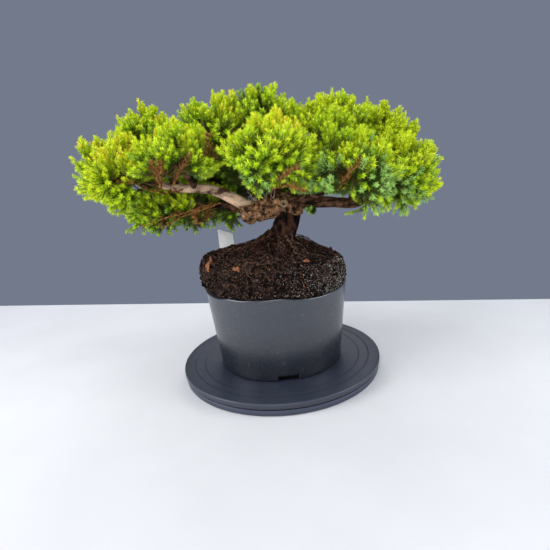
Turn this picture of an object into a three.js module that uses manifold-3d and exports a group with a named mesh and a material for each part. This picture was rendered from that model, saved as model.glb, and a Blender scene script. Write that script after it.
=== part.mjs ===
// Juniper bonsai in a cut-down nursery pot that stands on a two-plate turntable.
// Millimetres, +Z up. The origin is the middle of the turntable's flat underside,
// +X is the tree's right and -Y its front.
import * as THREE from "three";
import { mergeVertices } from "three/addons/utils/BufferGeometryUtils.js";
import Module from "manifold-3d";

// Driving dimensions

const GAP = 0.3; // clearance between a piece and the one that carries it

const TURNTABLE = {
  radius: 125,
  baseRadius: 123.5,
  baseTop: 7,
  spigotRadius: 42,
  plateBottom: 8.6,
  top: 15.6,
  edge: 1, // rounding of the outer edges
  bandInner: 112, // inner edge of the flat outer band
  ringOuter: 104,
  ringInner: 93,
  ringDrop: 1.4,
  wellDrop: 2,
};

const POT = {
  footRadius: 76.5,
  rimRadius: 87.2,
  height: 102,
  wall: 2.2,
  floor: 3,
  footBevel: 1.5,
  slotCount: 4,
  slotWidth: 23,
  slotHeight: 6.5,
  slotTurn: 4, // degrees from the front, to the right
};

const SOIL = {
  radius: 89, // root ball above the rim
  shoulder: 145, // height of the root ball's upper edge
  shift: -2, // the root ball's upper part stands that far to the right of the pot's axis
  lean: 6, // the left shoulder is that much higher and the right that much lower
  padTop: 158, // height of the level ground under the trunk
  padShare: 0.2,
  edgeShare: 0.93,
  moundPower: 2,
};

const LABEL = { width: 20, thickness: 1, stand: 26, sunk: 12, slope: 6, x: -62, y: 54, turn: 8 };

const FOOT = { x: 11, y: 0 }; // where the trunk leaves the ground
const ROOTS = { count: 8, thick: 4.6, thin: 1.4, rise: 9, reach: 0.5 };

const CROWN = {
  flatten: 1.3, // height counts this much more when space is shared between masses
  margin: 0.5, // distance that a mass keeps from its neighbours' space
  core: 0.62, // core size as a share of the mass
  coreLumps: 0.2, // share by which the core's corners stand in or out
  twigs: 24,
  lowest: 0.8, // twigs spread from straight up to this far below level
  padPower: 0.36, // below 0.5, the masses have flat tops and steep sides
  twigReach: 0.56,
  twigRadius: 2.2,
  sprayLength: 33,
  sprayRadius: 13,
  sprayGap: 17, // least distance between the middles or the tips of two sprays
  sideSprays: 1,
  sideAngle: 45,
};
const GOLDEN_ANGLE = Math.PI * (3 - Math.sqrt(5));

const COLOURS = {
  plate: 0x2e323c,
  pot: 0x565b62,
  soil: 0x241a14,
  label: 0xe6e6e0,
  trunk: 0x5a4331,
  bough: 0x8a7260,
  foliage: 0x86b021,
};

// Boughs: path from inside the trunk or an older bough to the mass, and radii along it
const BOUGHS = [
  {
    name: "left_tip",
    path: [[-18, 0, 202], [-40, -3, 217], [-57, -6, 227], [-76, -8, 233], [-98, -9, 235], [-122, -9, 240]],
    radii: [6.8, 6.2, 5.6, 5.1, 4.6, 3.8],
  },
  {
    name: "right_tip",
    path: [[22, 0, 204], [50, 0, 206], [76, 0, 204], [104, 0, 201], [124, 2, 211]],
    radii: [7, 6.4, 6, 5.4, 4.4],
  },
  { name: "front", path: [[4, -2, 205], [4, -6, 226], [5, -22, 242], [4, -44, 252]], radii: [5.6, 5.2, 4.6, 3.6] },
  { name: "top", path: [[8, 4, 205], [7, 12, 232], [6, 22, 258], [5, 31, 282]], radii: [5.6, 4.8, 4, 3.2] },
  { name: "rear", path: [[8, 6, 203], [7, 40, 216], [5, 70, 232], [3, 88, 243]], radii: [5.6, 4.8, 4, 3.4] },
  {
    name: "left_mid",
    path: [[-6, 4, 205], [-18, 14, 230], [-34, 24, 252], [-52, 31, 276]],
    radii: [5, 4.5, 3.8, 3],
  },
  {
    name: "left_rear",
    path: [[-14, 5, 202], [-38, 38, 214], [-62, 72, 228], [-78, 94, 242]],
    radii: [5, 4.4, 3.8, 3.2],
  },
  { name: "left_under", path: [[-20, 2, 200], [-48, 16, 207], [-64, 27, 210], [-80, 36, 210]], radii: [4.6, 4, 3.5, 3] },
  { name: "left_front", path: [[-84, -8, 234], [-86, -22, 243], [-89, -36, 253]], radii: [3.6, 3.2, 2.8] },
  { name: "left_high", path: [[-104, -9, 236], [-116, 10, 254], [-128, 28, 276]], radii: [4, 3.4, 2.8] },
  {
    name: "right_top",
    path: [[20, 5, 206], [40, 12, 232], [64, 19, 256], [80, 22, 270]],
    radii: [5, 4.4, 3.6, 3],
  },
  {
    name: "right_rear",
    path: [[20, 5, 203], [46, 40, 216], [72, 72, 230], [88, 92, 240]],
    radii: [5, 4.4, 3.8, 3.2],
  },
  { name: "right_high", path: [[98, 0, 202], [116, 16, 232], [131, 32, 262]], radii: [4, 3.4, 2.8] },
  { name: "right_front", path: [[26, -5, 207], [46, -18, 213], [62, -32, 220], [74, -44, 228]], radii: [4.2, 3.7, 3.2, 2.8] },
];

// Foliage masses: middle and half sizes of the space that each keeps to
const MASSES = [
  { name: "left_tip", middle: [-164, -8, 256], half: [57, 56, 47] },
  { name: "left_high", middle: [-145, 48, 295], half: [42, 48, 40] },
  { name: "left_front", middle: [-92, -52, 262], half: [54, 50, 42] },
  { name: "left_under", middle: [-109, 38, 210], half: [110, 54, 31] },
  { name: "left_mid", middle: [-61, 36, 298], half: [61, 52, 38] },
  { name: "left_rear", middle: [-90, 107, 249], half: [66, 52, 55] },
  { name: "front", middle: [2, -70, 263], half: [54, 57, 42] },
  { name: "top", middle: [-1, 32, 303], half: [56, 60, 39] },
  { name: "rear", middle: [-2, 105, 253], half: [70, 52, 56] },
  { name: "right_front", middle: [86, -57, 238], half: [62, 50, 46] },
  { name: "right_top", middle: [80, 28, 287], half: [69, 58, 39] },
  { name: "right_high", middle: [143, 46, 277], half: [46, 48, 36] },
  { name: "right_tip", middle: [141, -8, 234], half: [69, 60, 60] },
  { name: "right_rear", middle: [100, 102, 250], half: [64, 52, 52] },
];

// Solids and geometry helpers

const wasm = await Module();
wasm.setup();

const vector = (p) => new THREE.Vector3(...p);
const radians = THREE.MathUtils.degToRad;

function solidOf(geometry) {
  const bare = new THREE.BufferGeometry().setAttribute("position", geometry.getAttribute("position"));
  bare.setIndex(geometry.index);
  const merged = mergeVertices(bare, 1e-4);
  return new wasm.Manifold(
    new wasm.Mesh({
      numProp: 3,
      vertProperties: merged.attributes.position.array,
      triVerts: new Uint32Array(merged.index.array),
    }),
  );
}

function geometryOf(solid) {
  const mesh = solid.getMesh();
  const indexed = new THREE.BufferGeometry();
  indexed.setAttribute("position", new THREE.BufferAttribute(mesh.vertProperties, 3));
  indexed.setIndex(new THREE.BufferAttribute(mesh.triVerts, 1));
  const faceted = indexed.toNonIndexed();
  faceted.computeVertexNormals();
  return faceted;
}

const union = (solids) => solids.reduce((whole, piece) => whole.add(piece));

function largestBody(solid) {
  return solid.decompose().reduce((best, body) => (body.volume() > best.volume() ? body : best));
}

// A repeatable random number from 0 to 1 for a set of whole numbers.
function chance(...keys) {
  const mixed = keys.reduce((sum, key, place) => sum + (key + 1) * (12.9898 + 65.233 * place), 0);
  const value = Math.sin(mixed) * 43758.5453;
  return value - Math.floor(value);
}

const between = (low, high, ...keys) => low + (high - low) * chance(...keys);

// A closed round solid from a profile of [radius, height] pairs that starts and ends on the axis.
function turned(profile, segments) {
  const points = profile.map(([radius, height]) => new THREE.Vector2(radius, height));
  return new THREE.LatheGeometry(points, segments).rotateX(Math.PI / 2);
}

// A limb is a cylinder bent along a smooth path, with its radius blended between the given values.
function limbGeometry(points, radii, sides, steps, swell = 0) {
  const path = new THREE.CatmullRomCurve3(points.map(vector));
  const frames = path.computeFrenetFrames(steps, false);
  const geometry = new THREE.CylinderGeometry(1, 1, 1, sides, steps);
  const position = geometry.getAttribute("position");
  for (let i = 0; i < position.count; i += 1) {
    const row = Math.round((position.getY(i) + 0.5) * steps);
    const along = row / steps;
    const radius = valueAlong(radii, along) + swell;
    const place = path
      .getPoint(along)
      .addScaledVector(frames.normals[row], position.getX(i) * radius)
      .addScaledVector(frames.binormals[row], -position.getZ(i) * radius);
    position.setXYZ(i, place.x, place.y, place.z);
  }
  return geometry;
}

function valueAlong(values, along) {
  const scaled = along * (values.length - 1);
  const low = Math.min(Math.floor(scaled), values.length - 2);
  return THREE.MathUtils.lerp(values[low], values[low + 1], scaled - low);
}

// Short balls and rods that stand for a limb when distances to it are measured.
function limbBalls(points, radii, count) {
  const path = new THREE.CatmullRomCurve3(points.map(vector));
  return Array.from({ length: count + 1 }, (_, i) => ({
    at: path.getPoint(i / count),
    radius: valueAlong(radii, i / count),
  }));
}

// Turns a shape that points along +Y to point along a direction from an origin, rolled about itself.
function pointed(geometry, origin, direction, roll) {
  const turn = new THREE.Quaternion()
    .setFromUnitVectors(new THREE.Vector3(0, 1, 0), direction)
    .multiply(new THREE.Quaternion().setFromAxisAngle(new THREE.Vector3(0, 1, 0), roll));
  return geometry.applyQuaternion(turn).translate(origin.x, origin.y, origin.z);
}

// Turntable

function turntableBase() {
  const { baseRadius, baseTop, spigotRadius, plateBottom, edge } = TURNTABLE;
  return turned(
    [
      [0, 0],
      [baseRadius - edge, 0],
      [baseRadius, edge],
      [baseRadius, baseTop - edge],
      [baseRadius - edge, baseTop],
      [spigotRadius, baseTop],
      [spigotRadius, plateBottom - GAP],
      [0, plateBottom - GAP],
    ],
    56,
  );
}

function turntablePlate() {
  const { radius, plateBottom, top, edge, bandInner, ringOuter, ringInner, ringDrop, wellDrop } = TURNTABLE;
  return turned(
    [
      [0, plateBottom],
      [radius - edge, plateBottom],
      [radius, plateBottom + edge],
      [radius, top - edge],
      [radius - edge, top],
      [bandInner, top],
      [ringOuter, top - ringDrop],
      [ringInner, top - ringDrop],
      [ringInner - 1, top - wellDrop],
      [0, top - wellDrop],
    ],
    56,
  );
}

// Pot

const potFoot = TURNTABLE.top - TURNTABLE.wellDrop + GAP;
const potRim = potFoot + POT.height;
const potInnerFloor = potFoot + POT.floor;

function potOuterRadius(height) {
  return THREE.MathUtils.mapLinear(height, potFoot, potRim, POT.footRadius, POT.rimRadius);
}

function pot() {
  const shell = solidOf(
    turned(
      [
        [0, potFoot],
        [POT.footRadius - POT.footBevel, potFoot],
        [potOuterRadius(potFoot + POT.footBevel), potFoot + POT.footBevel],
        [POT.rimRadius, potRim],
        [POT.rimRadius - POT.wall, potRim],
        [potOuterRadius(potInnerFloor) - POT.wall, potInnerFloor],
        [0, potInnerFloor],
      ],
      48,
    ),
  );
  const slots = Array.from({ length: POT.slotCount }, (_, i) => {
    const depth = 4 * POT.wall;
    const slot = new THREE.BoxGeometry(POT.slotWidth, depth, 2 * POT.slotHeight);
    slot.translate(0, -POT.footRadius, potFoot);
    return solidOf(slot.rotateZ(radians(POT.slotTurn) + (i * 2 * Math.PI) / POT.slotCount));
  });
  return geometryOf(shell.subtract(union(slots)));
}

// Soil: a root ball that fills the pot, stands above its rim and rises to the foot of the trunk

function soilShoulder(turn) {
  return SOIL.shoulder - SOIL.lean * Math.cos(turn);
}

// Ground point at a share of the way from the trunk's foot to the root ball's edge.
function groundPoint(share, turn) {
  const reach = SOIL.radius * share;
  const fall = Math.max(0, (share - SOIL.padShare) / (SOIL.edgeShare - SOIL.padShare));
  const drop = (SOIL.padTop - soilShoulder(turn)) * fall ** SOIL.moundPower;
  return new THREE.Vector3(
    FOOT.x * (1 - share) + SOIL.shift * share + reach * Math.cos(turn),
    FOOT.y * (1 - share) + reach * Math.sin(turn),
    SOIL.padTop - drop,
  );
}

function soil(cutters) {
  const inner = (height) => potOuterRadius(height) - POT.wall - GAP;
  const bottom = potInnerFloor + GAP;
  const profile = [
    [0, bottom],
    [inner(bottom), bottom],
    [inner(potRim), potRim + GAP],
    [SOIL.radius - 1.5, potRim + GAP],
    [SOIL.radius, potRim + 9],
    [SOIL.radius - 1, SOIL.shoulder - 6],
  ];
  const topShares = [SOIL.edgeShare, 0.72, 0.45, SOIL.padShare, 0];
  const sideRows = profile.length;
  const shape = turned([...profile, ...topShares.map((share) => [share * SOIL.radius, SOIL.padTop])], 30);
  const position = shape.getAttribute("position");
  const rows = sideRows + topShares.length;
  for (let i = 0; i < position.count; i += 1) {
    const row = i % rows;
    if (row < sideRows - 1) continue;
    const turn = Math.atan2(position.getY(i), position.getX(i));
    const onTop = row >= sideRows;
    const place = onTop
      ? groundPoint(topShares[row - sideRows], turn)
      : new THREE.Vector3(position.getX(i) + SOIL.shift, position.getY(i), soilShoulder(turn) - 6);
    position.setXYZ(i, place.x, place.y, place.z);
  }
  return geometryOf(solidOf(shape).subtract(union(cutters)));
}

// Plant label: a plain white tag with a slanted top, pushed into the soil

function labelSolid(swell = 0) {
  const halfWidth = LABEL.width / 2 + swell;
  const ground = groundPoint(0.9, Math.atan2(LABEL.y, LABEL.x)).z;
  const outline = new THREE.Shape([
    new THREE.Vector2(-halfWidth, -LABEL.sunk - swell),
    new THREE.Vector2(halfWidth, -LABEL.sunk - swell),
    new THREE.Vector2(halfWidth, LABEL.stand - LABEL.slope - 3 + swell),
    new THREE.Vector2(halfWidth - 3, LABEL.stand - LABEL.slope + 1 + swell),
    new THREE.Vector2(-halfWidth + 2, LABEL.stand + swell),
    new THREE.Vector2(-halfWidth, LABEL.stand - 2 + swell),
  ]);
  const depth = LABEL.thickness + 2 * swell;
  const tag = new THREE.ExtrudeGeometry(outline, { depth, bevelEnabled: false });
  tag.translate(0, 0, -depth / 2).rotateX(Math.PI / 2).rotateZ(radians(LABEL.turn));
  return solidOf(tag.translate(LABEL.x, LABEL.y, ground));
}

// Trunk: a leaning stem that ends in a knobbly burl, with roots spread over the ground

const STEM = {
  path: [[FOOT.x, FOOT.y, SOIL.padTop + GAP], [11, 0, 163], [15, 0, 175], [21, 0, 188], [25, 0, 201]],
  radii: [15.5, 13.6, 13.2, 13, 13],
};
const BURL = {
  path: [[31, 0, 205], [16, 1, 206], [0, 0, 204], [-15, 0, 202], [-28, 0, 201]],
  radii: [9, 13, 12.4, 12, 8.5],
};
const KNOBS = [
  { at: [-23, -4, 197], radius: 11 },
  { at: [12, -7, 208], radius: 11 },
  { at: [29, -3, 200], radius: 11 },
  { at: [2, 7, 207], radius: 10.5 },
];

function rootPath(i) {
  const turn = (i * 2 * Math.PI) / ROOTS.count + between(-0.25, 0.25, i, 71);
  const reach = ROOTS.reach * between(0.75, 1.2, i, 72);
  const shares = [0.08, 0.2, 0.2 + (reach - 0.2) * 0.45, reach];
  const thickness = [ROOTS.thick, ROOTS.thick * 0.85, ROOTS.thick * 0.6, ROOTS.thin];
  const points = shares.map((share, step) => {
    const lift = step === 0 ? ROOTS.rise : thickness[step] * 0.55;
    const sway = turn + (step > 1 ? between(-0.16, 0.16, i, 73 + step) : 0);
    return groundPoint(share, sway).add(new THREE.Vector3(0, 0, lift)).toArray();
  });
  return { points, radii: thickness };
}

function trunkSolid(swell = 0) {
  const knobs = KNOBS.map(({ at, radius }) => {
    const knob = new THREE.IcosahedronGeometry(radius + swell, 1);
    return solidOf(knob.translate(...at));
  });
  const roots = Array.from({ length: ROOTS.count }, (_, i) => {
    const { points, radii } = rootPath(i);
    return solidOf(limbGeometry(points, radii, 4, 4, swell));
  });
  return union([
    solidOf(limbGeometry(STEM.path, STEM.radii, 9, 5, swell)),
    solidOf(limbGeometry(BURL.path, BURL.radii, 8, 5, swell)),
    ...knobs,
    ...roots,
  ]);
}

// Boughs: each starts inside what carries it and is cut back to just clear of it

const BOUGH_SIDES = 6;
const boughSteps = (bough) => bough.path.length + 1;
const boughSolid = (bough, swell = 0) =>
  solidOf(limbGeometry(bough.path, bough.radii, BOUGH_SIDES, boughSteps(bough), swell));

function allBoughs(fatTrunk) {
  const carriers = [fatTrunk];
  return BOUGHS.map((bough) => {
    const cut = boughSolid(bough).subtract(union(carriers));
    carriers.push(boughSolid(bough, GAP));
    return { name: bough.name, solid: largestBody(cut) };
  });
}

function boughEnd(bough) {
  const path = new THREE.CatmullRomCurve3(bough.path.map(vector));
  return { at: path.getPoint(1), along: path.getTangent(1), radius: bough.radii.at(-1) };
}

// Foliage: each mass grows from one stem, by the same seeded rule, inside its own space

const masses = MASSES.map((mass, index) => ({
  ...mass,
  index,
  middle: vector(mass.middle),
  half: vector(mass.half),
  weight: ((mass.half[0] + mass.half[1] + CROWN.flatten * mass.half[2]) / 3) ** 2,
}));

const limbs = [STEM, BURL, ...BOUGHS].flatMap(({ path, radii }) => limbBalls(path, radii, 24));
limbs.push(...KNOBS.map(({ at, radius }) => ({ at: vector(at), radius })));

function powerTo(point, mass) {
  const away = point.clone().sub(mass.middle);
  return away.x ** 2 + away.y ** 2 + (CROWN.flatten * away.z) ** 2 - mass.weight;
}

// Distance from a point to the flat border of its mass's space, negative when it is past the border.
function roomAt(point, mass) {
  const rooms = masses
    .filter((other) => other !== mass)
    .map((other) => {
      const apart = other.middle.clone().sub(mass.middle);
      apart.z *= CROWN.flatten ** 2;
      return (powerTo(point, other) - powerTo(point, mass)) / (2 * apart.length());
    });
  return Math.min(...rooms);
}

const depthIn = (point, mass) => point.clone().sub(mass.middle).divide(mass.half).length();

function clearOfLimbs(point, radius) {
  return limbs.every((ball) => ball.at.distanceTo(point) > ball.radius + radius + GAP);
}

// A dense heart of the mass, drawn in wherever it would leave the mass's space.
function massCore(mass) {
  const core = new THREE.IcosahedronGeometry(1, 1);
  const position = core.getAttribute("position");
  for (let i = 0; i < position.count; i += 1) {
    const corner = new THREE.Vector3().fromBufferAttribute(position, i);
    const keys = corner.toArray().map((value) => Math.round(value * 50));
    const out = corner.multiply(mass.half);
    let share = CROWN.core * (1 + between(-CROWN.coreLumps, CROWN.coreLumps, mass.index, ...keys));
    const place = () => mass.middle.clone().addScaledVector(out, share);
    while (roomAt(place(), mass) < CROWN.margin + 1 && share > 0.05) share *= 0.9;
    position.setXYZ(i, ...place().toArray());
  }
  return solidOf(core);
}

// A spray of needles: a slim spindle with three needles standing out of it.
function sprayGeometry(length, radius) {
  const widest = 0.52;
  const profile = [[0, 0], [radius, widest * length], [0, length]];
  const spray = new THREE.LatheGeometry(profile.map(([r, y]) => new THREE.Vector2(r, y)), 6);
  const position = spray.getAttribute("position");
  for (let i = 0; i < position.count; i += 1) {
    const meridian = Math.floor(i / profile.length);
    const isNeedle = meridian % 2 === 0;
    const isMiddle = i % profile.length === 1;
    if (!isMiddle) continue;
    const slim = isNeedle ? 1 : 0.36;
    const forward = (isNeedle ? 0.16 : -0.06) * length;
    position.setXYZ(i, position.getX(i) * slim, position.getY(i) + forward, position.getZ(i) * slim);
  }
  return spray;
}

function fits(geometry, mass) {
  const position = geometry.getAttribute("position");
  const point = new THREE.Vector3();
  for (let i = 0; i < position.count; i += 1) {
    point.fromBufferAttribute(position, i);
    if (roomAt(point, mass) < CROWN.margin) return false;
  }
  return true;
}

// A spray is skipped where it would touch a limb, leave the mass's space or crowd an older spray.
function sprayAt(mass, placed, root, direction, length, roll) {
  const radius = (CROWN.sprayRadius * length) / CROWN.sprayLength;
  const spray = pointed(sprayGeometry(length, radius), root, direction, roll);
  const pointAt = (share) => root.clone().addScaledVector(direction, share * length);
  const isClear = [0, 0.25, 0.5, 0.75, 1].every((share) =>
    clearOfLimbs(pointAt(share), radius * (1 - Math.abs(2 * share - 1))),
  );
  const marks = [pointAt(0.6), pointAt(1)];
  const isCrowded = placed.some((old) => marks.some((mark) => old.distanceTo(mark) < CROWN.sprayGap));
  if (!isClear || isCrowded || !fits(spray, mass)) return [];
  placed.push(...marks);
  return [solidOf(spray)];
}

function twigSolid(root, tip, mass) {
  const along = tip.clone().sub(root);
  const length = along.length();
  along.normalize();
  const rod = new THREE.CylinderGeometry(CROWN.twigRadius * 0.6, CROWN.twigRadius, length, 3, 1);
  const twig = pointed(rod.translate(0, length / 2, 0), root, along, 0);
  const isClear = [0.5, 0.75, 1].every((share) =>
    clearOfLimbs(root.clone().lerp(tip, share), CROWN.twigRadius),
  );
  return isClear && fits(twig, mass) ? solidOf(twig) : null;
}

// Direction of a twig: a golden-angle spiral from straight up to a little below level.
function twigDirection(mass, i) {
  const rise = 1 - ((i + 0.5) / CROWN.twigs) * (1 + CROWN.lowest);
  const turn = i * GOLDEN_ANGLE + mass.index * 1.7 + between(-0.2, 0.2, mass.index, i, 1);
  const level = (1 - rise * rise) ** CROWN.padPower;
  return new THREE.Vector3(level * Math.cos(turn), level * Math.sin(turn), rise);
}

// A twig with a spray at its tip and side sprays that take turns left and right of it.
function leafyTwig(mass, placed, i) {
  const out = twigDirection(mass, i).multiply(mass.half);
  const reach = CROWN.twigReach * between(0.94, 1.06, mass.index, i, 2);
  const tip = mass.middle.clone().addScaledVector(out, reach);
  const twig = twigSolid(mass.middle, tip, mass);
  if (!twig) return [];
  const along = tip.clone().sub(mass.middle).normalize();
  const upward = along.clone().add(new THREE.Vector3(0, 0, 0.35)).normalize();
  const length = CROWN.sprayLength * between(0.88, 1.12, mass.index, i, 3);
  const sunk = 0.36 * length;
  const sprays = sprayAt(mass, placed, tip.clone().addScaledVector(upward, -sunk), upward, length, i);
  const side = new THREE.Vector3(0, 0, 1).cross(along).normalize();
  for (let j = 0; j < CROWN.sideSprays; j += 1) {
    const lean = radians(CROWN.sideAngle) * (j % 2 === 0 ? 1 : -1);
    const axis = side.clone().applyAxisAngle(along, between(0, Math.PI, mass.index, i, 4 + j));
    const direction = along.clone().applyAxisAngle(axis, lean);
    const root = mass.middle.clone().lerp(tip, 0.8 - 0.08 * j).addScaledVector(direction, -1.5);
    sprays.push(...sprayAt(mass, placed, root, direction, length * 0.92, i + j));
  }
  return [twig, ...sprays];
}

function foliage(mass, fatLimbs) {
  const end = boughEnd(BOUGHS.find((bough) => bough.name === mass.name));
  const root = end.at.clone().addScaledVector(end.along, GAP);
  const elbow = root.clone().addScaledVector(end.along, 4);
  const stem = limbGeometry([root.toArray(), elbow.toArray(), mass.middle.toArray()], [end.radius, end.radius, 2], 5, 4);
  const placed = [];
  const twigs = Array.from({ length: CROWN.twigs }, (_, i) => leafyTwig(mass, placed, i)).flat();
  const grown = union([massCore(mass).subtract(fatLimbs), ...twigs]);
  return largestBody(grown.add(solidOf(stem)));
}

// Assembly

const plant = new THREE.Group();

function addPiece(name, geometry, colour, roughness, metalness = 0) {
  const material = new THREE.MeshStandardMaterial({ color: colour, roughness, metalness });
  const mesh = new THREE.Mesh(geometry, material);
  mesh.name = name;
  plant.add(mesh);
}

const fatTrunk = trunkSolid(GAP);
const fatLimbs = union([fatTrunk, ...BOUGHS.map((bough) => boughSolid(bough, GAP))]);

addPiece("turntable_base", turntableBase(), COLOURS.plate, 0.5);
addPiece("turntable_plate", turntablePlate(), COLOURS.plate, 0.45);
addPiece("pot", pot(), COLOURS.pot, 0.5);
addPiece("soil", soil([fatTrunk, labelSolid(GAP)]), COLOURS.soil, 0.95);
addPiece("plant_label", geometryOf(labelSolid()), COLOURS.label, 0.4);
addPiece("trunk", geometryOf(trunkSolid()), COLOURS.trunk, 0.9);
for (const { name, solid } of allBoughs(fatTrunk)) {
  addPiece(`bough_${name}`, geometryOf(solid), COLOURS.bough, 0.85);
}
for (const mass of masses) {
  addPiece(`foliage_${mass.name}`, geometryOf(foliage(mass, fatLimbs)), COLOURS.foliage, 0.7);
}

export default plant;
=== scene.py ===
"""Juniper bonsai in a cut-down nursery pot on a turntable, grown from a few sizes and one seeded rule.

Lengths are millimetres while shapes are worked out and metres once they are in a mesh.
The origin is the middle of the turntable's underside, +X is the tree's right and -Y its front.
"""

import bpy
import numpy as np
from mathutils import Matrix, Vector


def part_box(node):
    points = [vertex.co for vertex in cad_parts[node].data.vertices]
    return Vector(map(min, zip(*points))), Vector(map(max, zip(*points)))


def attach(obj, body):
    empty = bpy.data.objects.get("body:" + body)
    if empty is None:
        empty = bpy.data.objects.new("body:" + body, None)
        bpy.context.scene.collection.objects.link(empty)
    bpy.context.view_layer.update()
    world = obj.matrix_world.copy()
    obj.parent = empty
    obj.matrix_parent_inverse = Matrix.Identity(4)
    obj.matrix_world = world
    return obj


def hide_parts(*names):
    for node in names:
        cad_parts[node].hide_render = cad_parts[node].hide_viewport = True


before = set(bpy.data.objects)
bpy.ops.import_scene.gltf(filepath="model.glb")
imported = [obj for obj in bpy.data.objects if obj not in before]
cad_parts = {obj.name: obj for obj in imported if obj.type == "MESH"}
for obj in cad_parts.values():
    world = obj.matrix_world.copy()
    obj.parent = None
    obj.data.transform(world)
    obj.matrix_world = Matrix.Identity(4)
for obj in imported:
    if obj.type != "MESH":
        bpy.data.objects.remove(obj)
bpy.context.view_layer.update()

bl_info = {
    "name": "Juniper Bonsai",
    "version": (1, 0, 0),
    "blender": (4, 5, 0),
    "location": "View3D > Sidebar > Bonsai",
    "description": "Grows a potted juniper bonsai with bark, needles, root ball and turntable",
    "category": "Add Mesh",
}

MM = 0.001
BODY = "root"
UP = np.array([0.0, 0.0, 1.0])
GOLDEN_ANGLE = np.pi * (3 - np.sqrt(5))

# Tree plan, in millimetres

# The stem's foot is slimmer than in the part's source, because thin roots make up its flare
STEM = {
    "path": [(11, 0, 158.3), (11, 0, 163), (15, 0, 175), (21, 0, 188), (25, 0, 201)],
    "radii": [12.4, 12.2, 14.2, 13.8, 13],
}
BURL = {
    "path": [(31, 0, 205), (16, 1, 206), (0, 0, 204), (-15, 0, 202), (-28, 0, 201)],
    "radii": [9, 13, 12.4, 12, 8.5],
}
# Knobs on the burl: middle and radius
KNOBS = [((-23, -4, 197), 11), ((12, -7, 208), 11), ((29, -3, 200), 11), ((2, 7, 207), 10.5)]
SMALL_KNOBS = [
    ((-27, -7, 204), 6),
    ((-12, -9, 196), 7),
    ((-3, -10, 209), 6),
    ((22, -10, 204), 7),
    ((31, 2, 209), 6),
    ((-16, 8, 206), 7),
    ((16, 10, 202), 7),
]
# Pruned stub on the burl
STUB = {"place": (17, -19, 209), "heading": (0.25, -1, 0.2)}

# Points and radii of each bough, as in the part's source
BOUGHS = {
    "left_tip": (
        [(-18, 0, 202), (-40, -3, 217), (-57, -6, 227), (-76, -8, 233), (-98, -9, 235), (-122, -9, 240)],
        [6.8, 6.2, 5.6, 5.1, 4.6, 3.8],
    ),
    "right_tip": (
        [(22, 0, 204), (50, 0, 206), (76, 0, 204), (104, 0, 201), (124, 2, 211)],
        [7, 6.4, 6, 5.4, 4.4],
    ),
    "front": ([(4, -2, 205), (4, -6, 226), (5, -22, 242), (4, -44, 252)], [5.6, 5.2, 4.6, 3.6]),
    "top": ([(8, 4, 205), (7, 12, 232), (6, 22, 258), (5, 31, 282)], [5.6, 4.8, 4, 3.2]),
    "rear": ([(8, 6, 203), (7, 40, 216), (5, 70, 232), (3, 88, 243)], [5.6, 4.8, 4, 3.4]),
    "left_mid": ([(-6, 4, 205), (-18, 14, 230), (-34, 24, 252), (-52, 31, 276)], [5, 4.5, 3.8, 3]),
    "left_rear": ([(-14, 5, 202), (-38, 38, 214), (-62, 72, 228), (-78, 94, 242)], [5, 4.4, 3.8, 3.2]),
    "left_under": ([(-20, 2, 200), (-48, 16, 207), (-64, 27, 210), (-80, 36, 210)], [4.6, 4, 3.5, 3]),
    "left_front": ([(-84, -8, 234), (-86, -22, 243), (-89, -36, 253)], [3.6, 3.2, 2.8]),
    "left_high": ([(-104, -9, 236), (-116, 10, 254), (-128, 28, 276)], [4, 3.4, 2.8]),
    "right_top": ([(20, 5, 206), (40, 12, 232), (64, 19, 256), (80, 22, 270)], [5, 4.4, 3.6, 3]),
    "right_rear": ([(20, 5, 203), (46, 40, 216), (72, 72, 230), (88, 92, 240)], [5, 4.4, 3.8, 3.2]),
    "right_high": ([(98, 0, 202), (116, 16, 232), (131, 32, 262)], [4, 3.4, 2.8]),
    "right_front": ([(26, -5, 207), (46, -18, 213), (62, -32, 220), (74, -44, 228)], [4.2, 3.7, 3.2, 2.8]),
}

# Middle and half sizes of each foliage mass, as in the part's source, then the share of its low sprays with
# a blue bloom, and the painted light that sets its needles' tints beyond the others
MASSES = {
    "left_tip": ((-164, -8, 256), (57, 56, 47), 0.0, 0.15),
    "left_high": ((-145, 48, 295), (42, 48, 40), 0.0, -0.03),
    "left_front": ((-92, -52, 262), (54, 50, 42), 0.0, 0.02),
    "left_under": ((-109, 38, 210), (110, 54, 31), 0.1, -0.04),
    "left_mid": ((-61, 36, 298), (61, 52, 38), 0.0, -0.02),
    "left_rear": ((-90, 107, 249), (66, 52, 55), 0.1, 0.00),
    "front": ((2, -70, 263), (54, 57, 42), 0.34, 0.04),
    "top": ((-1, 32, 303), (56, 60, 39), 0.0, -0.11),
    "rear": ((-2, 105, 253), (70, 52, 56), 0.1, 0.00),
    "right_front": ((86, -57, 238), (62, 50, 46), 0.68, -0.07),
    "right_top": ((80, 28, 287), (69, 58, 39), 0.0, 0.03),
    "right_high": ((143, 46, 277), (46, 48, 36), 0.0, 0.09),
    "right_tip": ((141, -8, 234), (69, 60, 60), 0.44, 0.06),
    "right_rear": ((100, 102, 250), (64, 52, 52), 0.1, 0.00),
}
MIDDLES, HALVES, BLOOMS, PAINTED_LIGHTS = (np.array(column, float) for column in zip(*MASSES.values()))

# Twigs of a mass: their number, the fall of the lowest, the share of the half sizes that they reach, and a
# power that makes the mass fuller at its rim than an ellipsoid, which has 0.5
TWIGS = 24
LOWEST = 0.8
TWIG_REACH = 0.56
PAD_POWER = 0.36
# Fans on the twigs: how far they turn up, the share of a fan below its twig's tip, how much deeper the top
# ones sit, and the lean and size of side fans
FAN_UPTURN = 0.35
FAN_SINK = 0.36
TOP_SINK = 7
SIDE_LEAN = np.radians(45)
SIDE_SIZE = 0.92
# Needles: how far they stand out from a shoot, and how much less on an upright shoot and at the tip
NEEDLE_LEAN = np.radians(57)
UPRIGHT_CLOSES = np.radians(7)
TIP_CLOSES = np.radians(17)
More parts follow.
